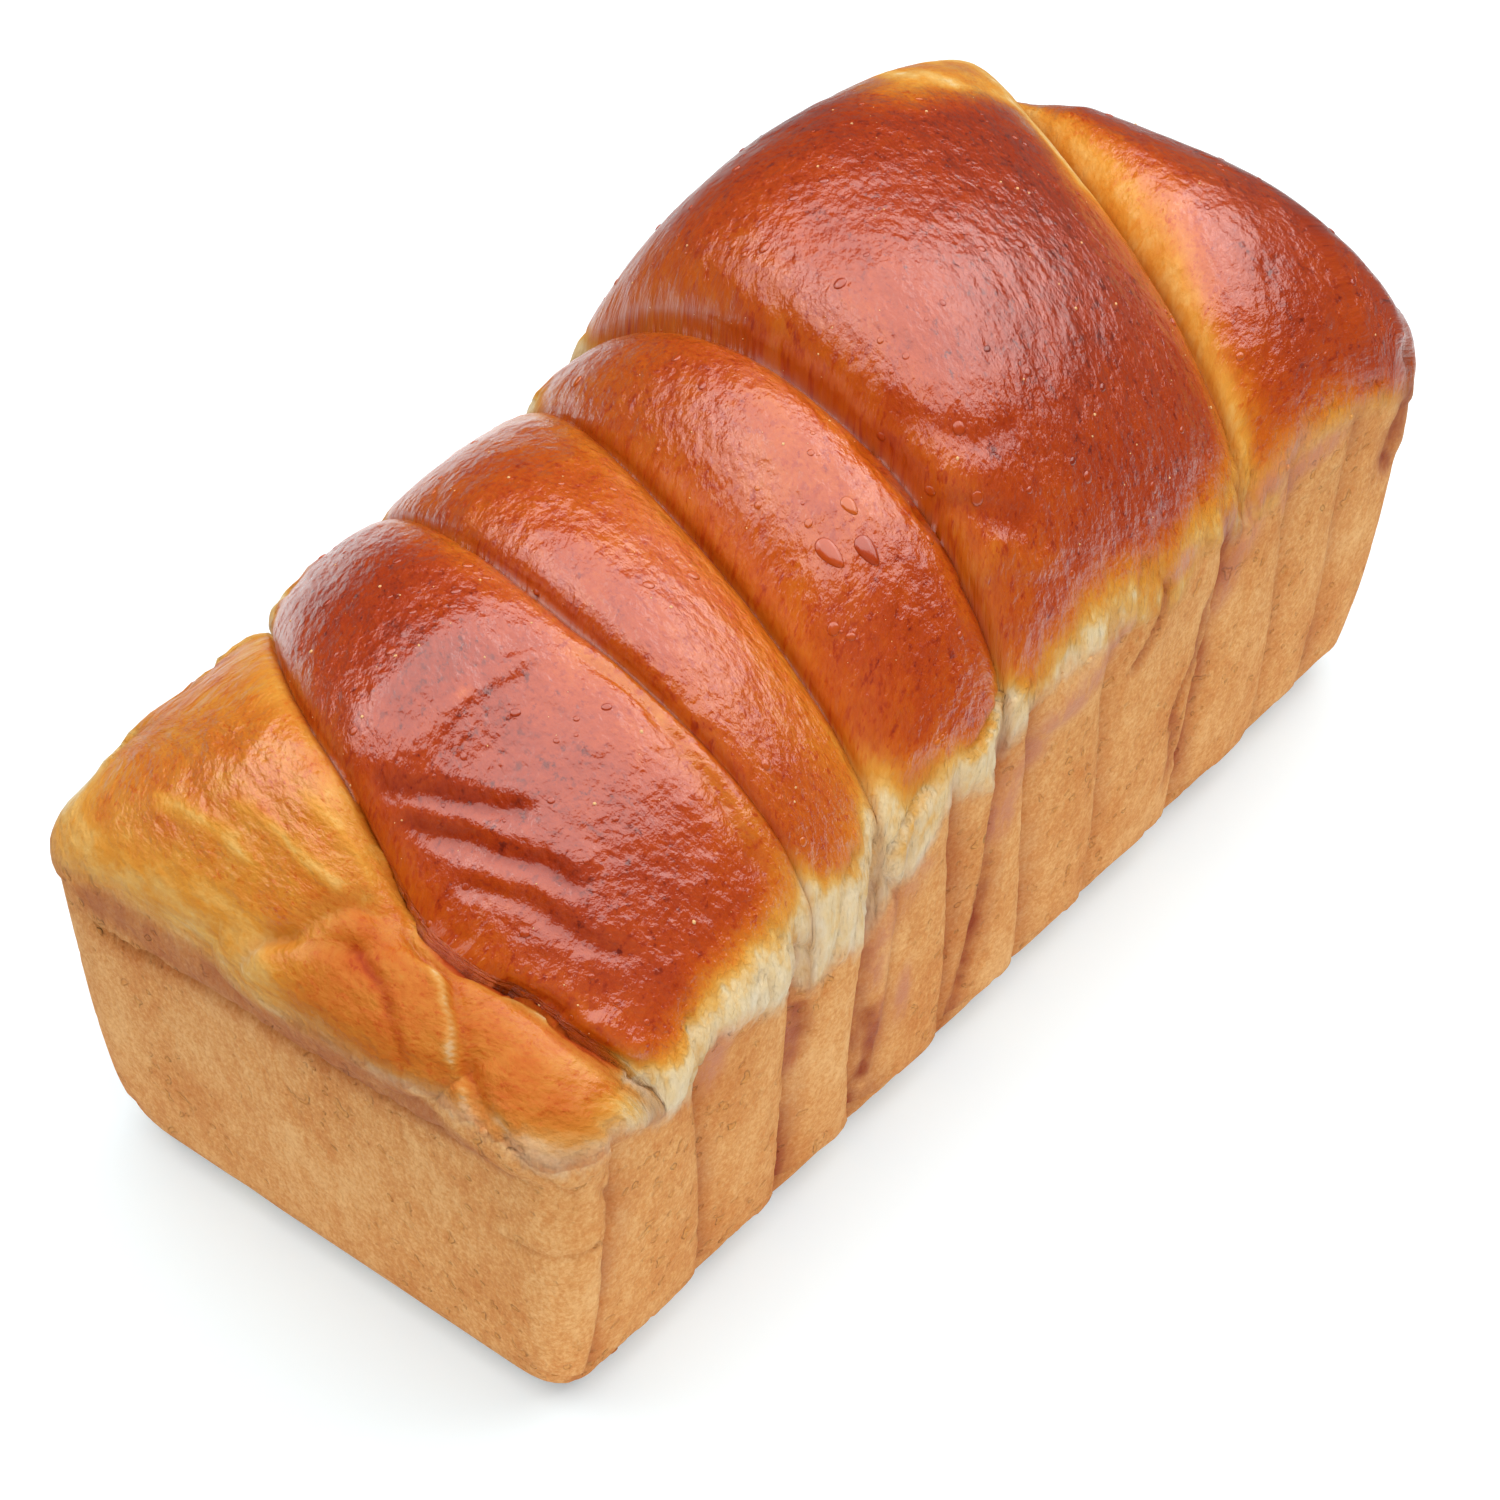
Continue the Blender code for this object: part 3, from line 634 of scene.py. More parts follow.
def breakRelief(points, facts, fields):
    # the pale dough stands proud of the wall, with a torn lower edge and upright pleats, and painted shade in
    # the tucked pleats
    height, tan, cream, gold = (fields[name] for name in ("height", "tan", "cream", "gold"))
    edge = smoothStep(tan - 0.9, tan + 0.7, height + 1.6 * fields["ragged"])
    proud = 0.25 * edge * smoothStep(gold + 8, tan + 3, height) * (1 - 0.6 * facts["endWall"])
    flowing = points * np.array([1, 1, 0.22])
    pleats = softNoise(flowing, 4.6 * mm, 5) + 0.5 * softNoise(flowing, 2.0 * mm, 6)
    nearEnd = smoothStep(-0.104, -0.114, points[:, 0])
    band = smoothStep(tan - 4, tan + 3, height) * smoothStep(gold + 6, cream, height) * (1 - 0.85 * nearEnd)
    tucked = 1 - np.abs(softNoise(flowing + 0.0016 * pleats[:, None], 6.5 * mm, 15)) * 4.5
    tucked = np.clip(tucked, 0, 1) ** 2
    fields["band"] = band
    # painted shade in the tucked pleats of the pale band
    fields["shade"] = np.maximum(fields["shade"], 0.22 * tucked * band)
    return (proud * (1 - nearEnd) + (0.8 * pleats - 1.1 * tucked) * band) * mm


def addField(mesh, name, values, kind="FLOAT"):
    attribute = mesh.attributes.new(name, kind, "POINT")
    part = "value" if kind == "FLOAT" else "vector"
    attribute.data.foreach_set(part, values.astype(np.float32).ravel())


def addObject(name, data):
    made = bpy.data.objects.new(name, data)
    bpy.context.scene.collection.objects.link(made)
    return made


def plainMesh(name, points, quads, fans):
    mesh = bpy.data.meshes.new(name)
    mesh.vertices.add(len(points))
    mesh.vertices.foreach_set("co", points.astype(np.float32).ravel())
    corners = np.concatenate([quads.ravel(), fans.ravel()]).astype(np.int32)
    starts = np.concatenate([np.arange(len(quads)) * 4, len(quads) * 4 + np.arange(len(fans)) * 3])
    mesh.loops.add(len(corners))
    mesh.loops.foreach_set("vertex_index", corners)
    mesh.polygons.add(len(starts))
    mesh.polygons.foreach_set("loop_start", starts.astype(np.int32))
    mesh.update(calc_edges=True)
    mesh.validate()
    mesh.shade_smooth()
    return mesh


def buildCrust():
    grid, facts = loafGrid()
    quads, fans = gridFaces(*grid.shape[:2])
    points = np.concatenate([grid.reshape(-1, 3), [grid[0].mean(0), grid[-1].mean(0)]])
    facts = {name: np.concatenate([v.ravel(), [v[0].mean(), v[-1].mean()]]) for name, v in facts.items()}
    boxMiddle = (np.array(cadLow) + np.array(cadHigh)) / 2
    shift = (boxMiddle - (points.min(0) + points.max(0)) / 2) * np.array([1, 1, 0])
    normals = vertexNormals(points, quads, fans)
    if (normals * (points - points.mean(0))).sum() < 0:
        quads, fans, normals = quads[:, ::-1], fans[:, ::-1], -normals
    fields = crustFields(points, facts)
    relief, tone, *stronger = foldRelief(points, normals)
    for name, values in zip(("shade", "mauve", "red"), stronger):
        fields[name] = np.maximum(fields[name], values)
    fields["brown"] = fields["brown"] + tone * (1 - fields["wall"])
    relief = relief + breakRelief(points, facts, fields)
    mesh = plainMesh("loafBase", points + normals * relief[:, None] + shift, quads, fans)
    for name in fieldNames:
        addField(mesh, name, fields[name])
    # on both end faces, the mottling runs on down from the crown
    under = np.clip(0.110 - points[:, 2], 0, 1)
    downNear = under * (facts["strand"] == strandNumber["a"]) * smoothStep(-0.100, -0.112, points[:, 0])
    downFar = under * (facts["strand"] == strandNumber["f"]) * smoothStep(0.105, 0.117, points[:, 0])
    flowing = np.stack([facts["across"] - downNear - downFar, facts["around"], facts["strand"] * 0.1], -1)
    addField(mesh, "flow", flowing, "FLOAT_VECTOR")
    print("crust built,", len(quads) * 2 + len(fans), "triangles, shift", np.round(shift, 5))
    return addObject("loafBase", mesh), shift


def linear(red, green, blue):
    # an sRGB colour, each part from 0 to 255, as the shader's linear one
    parts = [c / 255 / 12.92 if c <= 10 else ((c / 255 + 0.055) / 1.055) ** 2.4 for c in (red, green, blue)]
    return (*parts, 1.0)


def put(tree, kind, settings=None, inputs=None):
    # a new node, with each input linked or set
    node = tree.nodes.new(kind)
    for key, value in (settings or {}).items():
        setattr(node, key, value)
    for key, value in (inputs or {}).items():
        if isinstance(value, bpy.types.NodeSocket):
            tree.links.new(value, node.inputs[key])
        else:
            node.inputs[key].default_value = value
    return node


def calc(operation, *values, clamp=False):
    # a sum in the node tree that its first linked value belongs to
    tree = next(value.id_data for value in values if isinstance(value, bpy.types.NodeSocket))
    settings = {"operation": operation, "use_clamp": clamp}
    return put(tree, "ShaderNodeMath", settings, dict(enumerate(values))).outputs[0]


def chained(operation, first, *others):
    for other in others:
        first = calc(operation, first, other)
    return first


def plus(*values):
    return chained("ADD", *values)


def less(first, second, clamp=False):
    return calc("SUBTRACT", first, second, clamp=clamp)


def times(*values):
    return chained("MULTIPLY", *values)


def remap(value, low, high, toLow=0.0, toHigh=1.0):
    inputs = {"Value": value, "From Min": low, "From Max": high, "To Min": toLow, "To Max": toHigh}
    return put(value.id_data, "ShaderNodeMapRange", {"interpolation_type": "SMOOTHSTEP"}, inputs).outputs[0]


def mixColours(share, first, second, blend="MIX"):
    tree = (share if isinstance(share, bpy.types.NodeSocket) else first).id_data
    settings = {"data_type": "RGBA", "blend_type": blend}
    return put(tree, "ShaderNodeMix", settings, {0: share, 6: first, 7: second}).outputs[2]


def field(tree, name, part="Fac"):
    return put(tree, "ShaderNodeAttribute", {"attribute_name": name}).outputs[part]


def noiseAt(vector, stretch, detail, roughness):
    tree = vector.id_data
    stretched = put(tree, "ShaderNodeMapping", inputs={"Vector": vector, "Scale": stretch}).outputs[0]
    inputs = {"Vector": stretched, "Scale": 1.0, "Detail": detail, "Roughness": roughness}
    return put(tree, "ShaderNodeTexNoise", inputs=inputs).outputs[0]


crustLook = {
    "bakeTones": [(0.00, (232, 216, 184)), (0.10, (229, 202, 152)), (0.16, (222, 172, 92)),
                  (0.24, (214, 143, 48)), (0.36, (206, 114, 25)), (0.50, (194, 88, 11)), (0.64, (179, 66, 7)),
                  (0.80, (161, 50, 6)), (1.00, (112, 28, 7))],
    "wallTones": [(0.25, (205, 127, 61)), (0.5, (221, 157, 91)), (0.75, (238, 188, 125))],
    "wallPit": (214, 146, 66),
    "tuckedTone": (166, 82, 48),
    "mauveTone": (204, 132, 96),
    "shadeTint": (0.62, 0.36, 0.22, 1.0),         # what the tone is multiplied by for painted shade in deep creases
    "paleRoughness": 0.60, "glazeSmoothing": -0.25, "wallRoughness": 0.80,
    "washRoughness": 0.18, "washIor": 1.70, "doughIor": 1.32,
}

# Noises of the crust: what they lie on, how many to a metre along x, y and z (on the flow: along the loaf,
# down a strand), detail and roughness
crustNoises = {
    "streaks": ("Object", (420, 420, 170), 3.0, 0.6),
    "frayed": ("Object", (520, 520, 330), 2.0, 0.6),
    "wisps": ("Object", (360, 360, 110), 3.0, 0.6),
    "grain": ("Object", (1250, 1250, 1000), 3.0, 0.7),
    "patches": ("Object", (60, 60, 40), 3.0, 0.6),
    "pits": ("Object", (430, 430, 430), 1.0, 0.5),
    "pores": ("Object", (1000, 1000, 850), 3.0, 0.6),
    "fibres": ("flow", (1150, 760, 1), 3.0, 0.6),
    "clouds": ("flow", (170, 110, 1), 3.0, 0.6),
    "flecks": ("flow", (760, 560, 1), 2.0, 0.6),
    "spots": ("flow", (420, 380, 1), 4.0, 0.7),
    "skin": ("flow", (640, 500, 1), 3.0, 0.6),
    "crinkle": ("flow", (1500, 1100, 1), 2.0, 0.6),
    "wrinkles": ("flow", (270, 180, 1), 2.0, 0.5),
}

# How high each noise lifts the surface, in metres
bumpHeights = {
    "skin": 0.00034, "crinkle": 0.00012, "wrinkles": 0.00085, "wisps": 0.00045,
    "pores": 0.00050, "streaks": 0.00035, "pits": 0.0005, "wall": 0.0006,
}


def toneRamp(value, tones):
    ramp = put(value.id_data, "ShaderNodeValToRGB", inputs={0: value})
    elements = ramp.color_ramp.elements
    while len(elements) > 1:
        elements.remove(elements[0])
    elements[0].position = tones[0][0]
    elements[0].color = linear(*tones[0][1])
    for position, tone in tones[1:]:
        elements.new(position).color = linear(*tone)
    return ramp.outputs[0]


def newMaterial(name):
    material = bpy.data.materials.new(name)
    material.use_nodes = True
    return material, material.node_tree, material.node_tree.nodes["Principled BSDF"].inputs


def crustMaterial():
    material, tree, surface = newMaterial("glazedCrust")
    brown, band, dullShaded = (field(tree, name) for name in ("brown", "band", "dullShaded"))
    spot = put(tree, "ShaderNodeTexCoord").outputs["Object"]
    under = {"flow": field(tree, "flow", "Vector"), "Object": spot}
    seen = {name: noiseAt(under[lain], *sizes) for name, (lain, *sizes) in crustNoises.items()}
    torn = times(less(seen["frayed"], 0.5), 0.55)
    wall = remap(plus(field(tree, "edge"), torn), 0.50, -0.28)
    wisps = times(calc("ABSOLUTE", less(seen["wisps"], 0.5)), 4.0)

    # mottling that runs along the strands
    onGlaze = remap(brown, 0.14, 0.42)
    offBand = less(1.0, times(band, 0.8))
    speckled = times(remap(brown, 0.14, 0.5, 0.08, 0.26), offBand)
    level = plus(brown,
                 times(less(seen["fibres"], 0.5), speckled),
                 times(less(seen["clouds"], 0.5), 0.32),
                 times(remap(seen["flecks"], 0.54, 0.72, 0.0, 0.14), onGlaze),
                 times(remap(seen["spots"], 0.58, 0.70, 0.0, 0.22), onGlaze),
                 times(less(0.45, wisps), times(band, 0.07)))
    crustTone = toneRamp(level, crustLook["bakeTones"])

    # the tin's side: tan and porous, with upright streaks
    wallLevel = plus(times(seen["streaks"], 0.40), times(seen["patches"], 0.70), times(seen["grain"], 0.80))
    wallTone = toneRamp(less(wallLevel, 0.445), crustLook["wallTones"])
    pit = times(remap(seen["pits"], 0.38, 0.27), remap(seen["patches"], 0.58, 0.46))
    wallTone = mixColours(times(pit, 0.35), wallTone, linear(*crustLook["wallPit"]))

    mauve = times(field(tree, "mauve"), remap(seen["streaks"], 0.35, 0.55, 0.35, 0.85))
    redness = times(field(tree, "red"), remap(seen["streaks"], 0.3, 0.65, 0.55, 1.0))
    shade = times(field(tree, "shade"), 0.75)
    colour = mixColours(wall, crustTone, wallTone)
    colour = mixColours(mauve, colour, linear(*crustLook["mauveTone"]))
    colour = mixColours(redness, colour, linear(*crustLook["tuckedTone"]))
    # painted shade: the colour is multiplied by shadeTint as far as the shade field reaches
    darker = mixColours(1.0, colour, crustLook["shadeTint"], "MULTIPLY")
    tree.links.new(mixColours(shade, colour, darker), surface["Base Color"])

    # gloss of the egg wash, duller on pale dough and on the wall
    glaze = times(remap(brown, 0.18, 0.42), less(1.0, dullShaded))
    rough = plus(crustLook["paleRoughness"], times(glaze, crustLook["glazeSmoothing"]))
    rough = plus(rough, times(less(seen["clouds"], 0.5), 0.16))
    rough = plus(rough, times(wall, less(crustLook["wallRoughness"], rough)))
    tree.links.new(less(rough, times(mauve, 0.35)), surface["Roughness"])

    # fine relief
    skin = plus(*(times(seen[name], bumpHeights[name]) for name in ("skin", "crinkle", "wrinkles")))
    skin = less(skin, times(wisps, band, bumpHeights["wisps"]))
    pores = plus(*(times(seen[name], bumpHeights[name]) for name in ("pores", "streaks")))
    pores = less(pores, times(pit, bumpHeights["pits"]))
    mixed = plus(times(skin, less(1.0, wall)), times(pores, wall))
    mixed = less(mixed, times(wall, bumpHeights["wall"]))
    bumps = {"Height": mixed, "Strength": 1.0, "Distance": 1.0}
    bump = put(tree, "ShaderNodeBump", inputs=bumps).outputs[0]
    wash = times(glaze, less(1.0, wall), offBand, less(1.0, times(shade, 1.1), clamp=True))
    for socket, value in (("Normal", bump), ("Coat Normal", bump), ("Coat Weight", wash)):
        tree.links.new(value, surface[socket])
    surface["Coat Roughness"].default_value = crustLook["washRoughness"]
    surface["Coat IOR"].default_value = crustLook["washIor"]
    surface["IOR"].default_value = crustLook["doughIor"]
    return material


# Relief over the whole crust: wide lumps, wrinkles along the strands and pits in the wall
reliefSizes = {
    "Lump size": 0.024, "Lump height": 0.0011,
    "Wrinkle size": 0.0055, "Wrinkle height": 0.00035,
    "Pit size": 0.0032, "Pit depth": 0.00035,
    "Seed": 4,
}


def startTree(name, sizes):
    # a Geometry Nodes tree with an input for each size
    tree = bpy.data.node_groups.new(name, "GeometryNodeTree")
    tree.interface.new_socket("Geometry", in_out="INPUT", socket_type="NodeSocketGeometry")
    tree.interface.new_socket("Geometry", in_out="OUTPUT", socket_type="NodeSocketGeometry")
    for label, value in sizes.items():
        kind = "NodeSocketInt" if isinstance(value, int) else "NodeSocketFloat"
        tree.interface.new_socket(label, in_out="INPUT", socket_type=kind).default_value = value
    return tree, tree.nodes.new("NodeGroupInput").outputs


def endTree(tree, geometry, material):
    realized = put(tree, "GeometryNodeRealizeInstances", inputs={0: geometry}).outputs[0]
    dressed = put(tree, "GeometryNodeSetMaterial", inputs={"Geometry": realized, "Material": material})
    tree.links.new(dressed.outputs[0], tree.nodes.new("NodeGroupOutput").inputs[0])


def vectorCalc(operation, vector, other):
    inputs = {0: vector, "Scale" if operation == "SCALE" else 1: other}
    return put(vector.id_data, "ShaderNodeVectorMath", {"operation": operation}, inputs).outputs[0]


def named(tree, name, kind="FLOAT"):
    return put(tree, "GeometryNodeInputNamedAttribute", {"data_type": kind}, {"Name": name}).outputs[0]


def sizedNoise(vector, size, seed, detail=2.0):
    # noise with features of this size, drawn from its own slice
    tree = vector.id_data
    scale = put(tree, "ShaderNodeMath", {"operation": "DIVIDE"}, {0: 1.0, 1: size}).outputs[0]
    inputs = {"Vector": vector, "W": seed, "Scale": scale, "Detail": detail, "Roughness": 0.5}
    return less(put(tree, "ShaderNodeTexNoise", {"noise_dimensions": "4D"}, inputs).outputs[0], 0.5)


def reliefTree(material):
    tree, given = startTree("crustRelief", reliefSizes)
    spot = put(tree, "GeometryNodeInputPosition").outputs[0]
    normal = put(tree, "GeometryNodeInputNormal").outputs[0]
    wall = remap(named(tree, "edge"), 0.1, -0.1)
    risen = less(1.0, wall)
    lumps = times(sizedNoise(spot, given["Lump size"], given["Seed"]), given["Lump height"])
    lumps = times(lumps, plus(0.35, times(risen, 0.65)))
    flow = vectorCalc("MULTIPLY", named(tree, "flow", "FLOAT_VECTOR"), (1.0, 0.45, 1.0))
    wrinkles = sizedNoise(flow, given["Wrinkle size"], given["Seed"], 3.0)
    wrinkles = times(wrinkles, given["Wrinkle height"], 2.0, risen)
    upright = vectorCalc("MULTIPLY", spot, (1.0, 1.0, 0.5))
    pits = remap(sizedNoise(upright, given["Pit size"], given["Seed"]), -0.02, -0.20)
    pits = times(times(pits, given["Pit depth"]), times(wall, -1.0))
    # the base stays flat
    standing = put(tree, "ShaderNodeSeparateXYZ", inputs={0: spot}).outputs[2]
    total = times(plus(lumps, wrinkles, pits), remap(standing, 0.0005, 0.006))
    inputs = {"Geometry": given["Geometry"], "Offset": vectorCalc("SCALE", normal, total)}
    endTree(tree, put(tree, "GeometryNodeSetPosition", inputs=inputs).outputs[0], material)
    return tree


def bakeTree(source, tree, sizes, name):
    # runs a Geometry Nodes tree on an object and keeps the result as a plain mesh
    modifier = source.modifiers.new(tree.name, "NODES")
    modifier.node_group = tree
    for item in tree.interface.items_tree:
        if item.in_out == "INPUT" and item.name in sizes:
            modifier[item.identifier] = sizes[item.name]
    bpy.context.view_layer.update()
    graph = bpy.context.evaluated_depsgraph_get()
    mesh = bpy.data.meshes.new_from_object(source.evaluated_get(graph), preserve_all_data_layers=True,
                                           depsgraph=graph)
    source.modifiers.remove(modifier)
    mesh.name = name
    return addObject(name, mesh)


def scatterTree(name, sizes, whereGrown, material, roundness):
    # low domes strewn over the crust, each taking the fields of the crust under it
    tree, given = startTree(name, sizes)
    least, seed = given["Least radius"], given["Seed"]
    density = times(given["Density"], whereGrown(tree))
    strewn = put(tree, "GeometryNodeDistributePointsOnFaces", {"distribute_method": "RANDOM"},
                 {"Mesh": given["Geometry"], "Density": density, "Seed": seed})
    chance = put(tree, "FunctionNodeRandomValue", {"data_type": "FLOAT"}, {"Seed": seed}).outputs[1]
    radius = plus(least, times(calc("POWER", chance, 2.5), less(given["Largest radius"], least)))
    stretch = put(tree, "FunctionNodeRandomValue", {"data_type": "FLOAT"},
                  {2: 0.75, 3: 1.3, "Seed": plus(seed, 9)}).outputs[1]
    sides = {0: radius, 1: times(radius, stretch), 2: times(radius, given["Flatness"])}
    size = put(tree, "ShaderNodeCombineXYZ", inputs=sides).outputs[0]
    dome = put(tree, "GeometryNodeMeshIcoSphere", inputs={"Radius": 1.0, "Subdivisions": roundness})
    dome = put(tree, "GeometryNodeSetShadeSmooth", inputs={0: dome.outputs[0]}).outputs[0]
    inputs = {"Instance": dome, "Scale": size, **{key: strewn.outputs[key] for key in ("Points", "Rotation")}}
    endTree(tree, put(tree, "GeometryNodeInstanceOnPoints", inputs=inputs).outputs[0], material)
    return tree


blisterSizes = {
    "Density": 15000.0, "Least radius": 0.00030, "Largest radius": 0.00115, "Flatness": 0.27, "Seed": 11,
}
speckSizes = {
    "Density": 12000.0, "Least radius": 0.00010, "Largest radius": 0.00036, "Flatness": 0.7, "Seed": 5,
}
speckLook = {"tone": (226, 178, 120), "roughness": 0.3}
crumbSizes = {
    "Density": 62000.0, "Least radius": 0.00030, "Largest radius": 0.00110, "Flatness": 0.55, "Seed": 3,
}
dropRing = {"around": 28, "rings": 7, "reach": 1.12, "narrowing": 0.3}


def gatheredAt(tree, size, seed, *shares):
    # the scattered things gather in patches of this size
    spot = put(tree, "GeometryNodeInputPosition").outputs[0]
    return remap(sizedNoise(spot, size, seed, 1.0), *shares)


def onGlazedDough(tree):
    return times(remap(named(tree, "brown"), 0.42, 0.56), gatheredAt(tree, 0.020, 2, -0.12, 0.16, 0.25, 1.0))


def onBreakLine(tree):
    edge = named(tree, "edge")
    return times(remap(edge, -0.10, -0.02), remap(edge, 0.16, 0.05), gatheredAt(tree, 0.014, 6, 0.02, 0.12))


def speckMaterial():
    material, _, surface = newMaterial("paleSpeck")
    surface["Base Color"].default_value = linear(*speckLook["tone"])
    surface["Roughness"].default_value = speckLook["roughness"]
    return material


def buildDrops(crustPiece, material, shift):
    # each drop is a low dome, longer than wide and narrower at one end, laid on the crust
    mesh = crustPiece.data
    surface = BVHTree.FromObject(crustPiece, bpy.context.evaluated_depsgraph_get())
    points, faces, under = [], [], []
    around, rings = dropRing["around"], dropRing["rings"]
    for drop in drops:
        start = Vector((drop["middle"][0] * mm + shift[0], drop["middle"][1] * mm + shift[1], 0.3))
        middle, up, face, _ = surface.ray_cast(start, Vector((0, 0, -1)))
        turn = math.radians(drop["turn"])
        along = Vector((math.cos(turn), math.sin(turn), 0))
        along = (along - up * along.dot(up)).normalized()
        across = up.cross(along)
        first = len(points)
        points.append(middle + up * drop["height"] * mm)
        for ring in range(1, rings + 1):
            reach = ring / rings * dropRing["reach"]
            height = drop["height"] * math.sqrt(max(0, 1 - min(1, reach) ** 2)) - 0.25 * max(0, reach - 0.9)
            for step in range(around):
                angle = 2 * math.pi * step / around
                narrow = 1 - dropRing["narrowing"] * math.cos(angle)
                spot = middle + along * (drop["halfSizes"][0] * reach * math.cos(angle) * mm)
                spot = spot + across * (drop["halfSizes"][1] * reach * narrow * math.sin(angle) * mm)
                points.append(surface.find_nearest(spot)[0] + up * height * mm)
        for step in range(around):
            following = (step + 1) % around
            faces.append((first, first + 1 + step, first + 1 + following))
            for ring in range(rings - 1):
                low = first + 1 + ring * around
                faces.append((low + step, low + around + step, low + around + following, low + following))
        faces.append(tuple(reversed(range(len(points) - around, len(points)))))
        under += [mesh.polygons[face].vertices[0]] * (len(points) - first)
    made = bpy.data.meshes.new("crustDrops")
    made.from_pydata([tuple(p) for p in points], [], faces)
    made.shade_smooth()
    for name in fieldNames:
        addField(made, name, np.array([mesh.attributes[name].data[i].value for i in under]))
    flow = mesh.attributes["flow"].data
    addField(made, "flow", np.array([flow[i].vector for i in under]), "FLOAT_VECTOR")
    made.materials.append(material)
    return addObject("brioche_drops", made)


# The camera's place is from the middle of the tin's base
cameraView = {
    "azimuth": -52.618, "elevation": 45.300, "roll": 1.3264,
    "distance": 0.85402, "sideways": -0.00232, "upward": 0.02435,
    "lens": 108.0, "sensor": 36.0,
}


def towards(spec):
    a, e = math.radians(spec["azimuth"]), math.radians(spec["elevation"])
    return Vector((math.sin(a) * math.cos(e), -math.cos(a) * math.cos(e), math.sin(e)))


def placeCamera(shift):
    a, roll = math.radians(cameraView["azimuth"]), math.radians(cameraView["roll"])
    back = towards(cameraView)
    right = Vector((math.cos(a), math.sin(a), 0))
    up = back.cross(right)
    across = right * math.cos(roll) + up * math.sin(roll)
    upward = up * math.cos(roll) - right * math.sin(roll)
    spot = back * cameraView["distance"] + across * cameraView["sideways"] + upward * cameraView["upward"]
    camera = addObject("photoView", bpy.data.cameras.new("photoView"))
    camera.data.lens = cameraView["lens"]
    camera.data.sensor_width = cameraView["sensor"]
    camera.matrix_world = Matrix((across, upward, back)).transposed().to_4x4()
    camera.location = spot + Vector(shift.tolist())
    bpy.context.scene.camera = camera


studio = {
    # soft boxes: azimuth (0 faces the front wall, 90 the far end), elevation, distance, size and brightness
    "boxes": {
        "topBox": dict(azimuth=150, elevation=81, distance=1.20, width=2.1, height=2.1, radiance=2.0),
        "rightBox": dict(azimuth=66, elevation=39, distance=1.40, width=1.5, height=0.90, radiance=2.1),
        "leftBox": dict(azimuth=-146, elevation=36, distance=1.40, width=1.0, height=0.95, radiance=1.6),
        "wallFill": dict(azimuth=-40, elevation=16, distance=1.50, width=2.6, height=1.2, radiance=1.8),
    },
    "world": 0.03, "backdrop": 1.0,
    "floorHalf": 4.0, "floor": 0.80, "paperGlow": (0.14, 0.25, 0.29, 1.0),
    "paperReach": (0.18, 0.42), "beyondPaper": 0.10,    # how far the loaf sees a bright floor around it
    "whiteFrom": (0.45, 1.30),                          # where the floor that the camera sees turns white
}


def areaLight(name, spec):
    direction = towards(spec)
    light = bpy.data.lights.new(name, "AREA")
    light.shape = "RECTANGLE"
    light.size = spec["width"]
    light.size_y = spec["height"]
    light.energy = spec["radiance"] * math.pi * spec["width"] * spec["height"]
    lamp = addObject(name, light)
    lamp.location = Vector((0, 0, 0.07)) + direction * spec["distance"]
    lamp.rotation_euler = direction.to_track_quat("Z", "Y").to_euler()
    lamp.visible_glossy = name != "wallFill"      # the fill lights the walls and leaves no shine


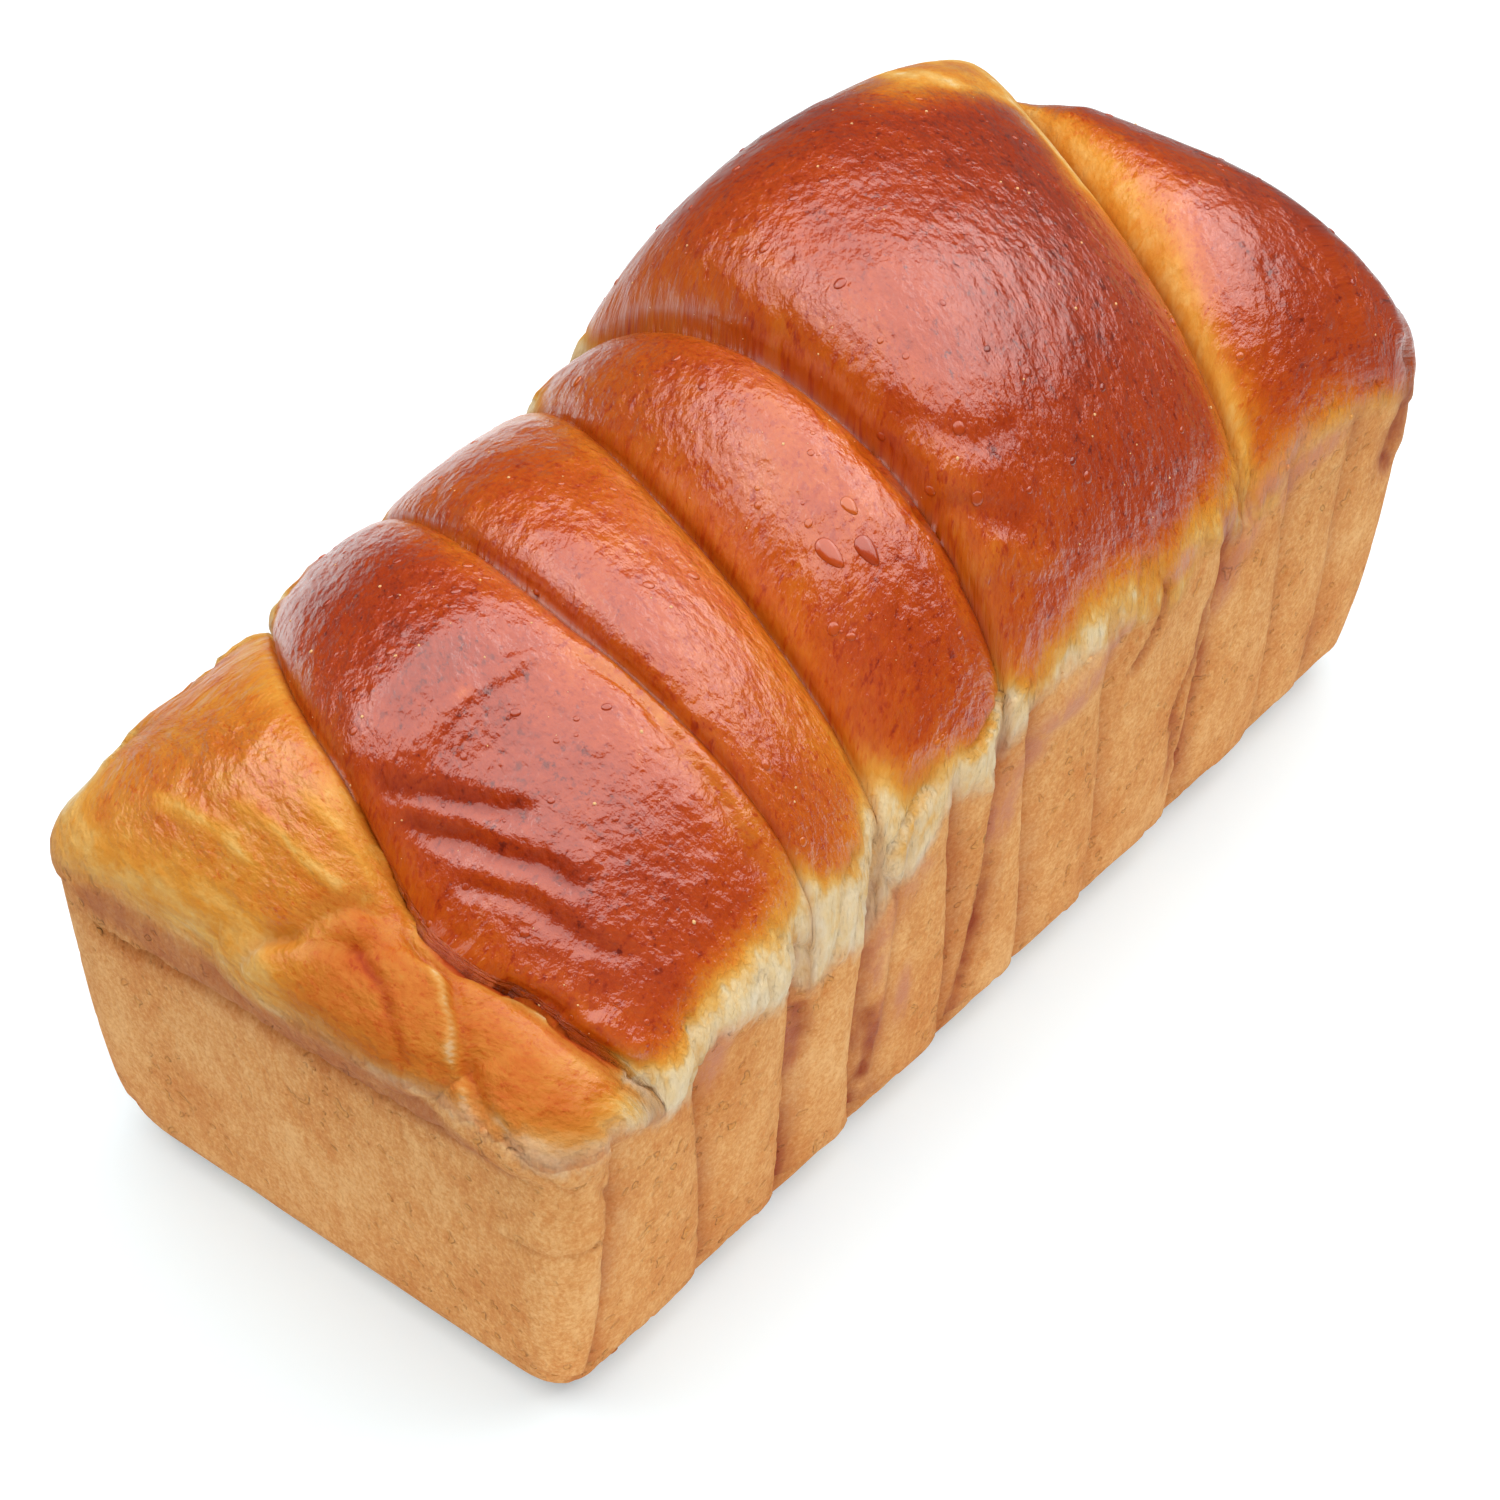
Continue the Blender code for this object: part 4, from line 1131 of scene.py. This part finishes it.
def lightStudio():
    world = bpy.data.worlds.new("studio")
    bpy.context.scene.world = world
    world.use_nodes = True
    tree = world.node_tree
    seen = put(tree, "ShaderNodeLightPath").outputs["Is Camera Ray"]
    glow = plus(studio["world"], times(seen, studio["backdrop"] - studio["world"]))
    tree.nodes["Background"].inputs[0].default_value = (1, 1, 1, 1)
    tree.links.new(glow, tree.nodes["Background"].inputs[1])
    for name, box in studio["boxes"].items():
        areaLight(name, box)
    paper, tree, surface = newMaterial("whitePaper")
    spot = put(tree, "ShaderNodeTexCoord").outputs["Object"]
    away = put(tree, "ShaderNodeVectorMath", {"operation": "LENGTH"}, {0: spot}).outputs["Value"]
    seen = put(tree, "ShaderNodeLightPath").outputs["Is Camera Ray"]
    faded = remap(away, *studio["paperReach"], studio["floor"], studio["floor"] * studio["beyondPaper"])
    tree.links.new(calc("MAXIMUM", faded, times(seen, studio["floor"])), surface["Base Color"])
    # a glow seen only by the camera: painted light that lifts the loaf's shadow on the floor and cools its
    # colour, turning plain white further out
    glow = mixColours(remap(away, *studio["whiteFrom"]), studio["paperGlow"], (1.0, 1.0, 1.0, 1.0))
    tree.links.new(glow, surface["Emission Color"])
    tree.links.new(seen, surface["Emission Strength"])
    surface["Roughness"].default_value = 0.9
    surface["Specular IOR Level"].default_value = 0.1
    half = studio["floorHalf"]
    mesh = bpy.data.meshes.new("paperFloor")
    corners = [(-half, -half, 0), (half, -half, 0), (half, half, 0), (-half, half, 0)]
    mesh.from_pydata(corners, [], [(0, 1, 2, 3)])
    mesh.materials.append(paper)
    floor = addObject("paperFloor", mesh)
    bpy.context.scene.view_settings.view_transform = "Standard"


base, shift = buildCrust()
placeCamera(shift)
lightStudio()
crust = crustMaterial()
loaf = bakeTree(base, reliefTree(crust), reliefSizes, "brioche_crust")
bpy.data.objects.remove(base, do_unlink=True)
print("relief baked,", len(loaf.data.polygons), "faces")

pieces = [loaf]
for name, sizes, whereGrown, material, roundness in (
        ("brioche_blisters", blisterSizes, onGlazedDough, crust, 2),
        ("brioche_specks", speckSizes, onGlazedDough, speckMaterial(), 1),
        ("brioche_crumbs", crumbSizes, onBreakLine, crust, 1)):
    pieces.append(bakeTree(loaf, scatterTree(name, sizes, whereGrown, material, roundness), sizes, name))
pieces.append(buildDrops(loaf, crust, shift))
print("scattered,", [len(piece.data.polygons) for piece in pieces[1:]], "faces")

for piece in pieces:
    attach(piece, "root")
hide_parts("brioche_loaf")
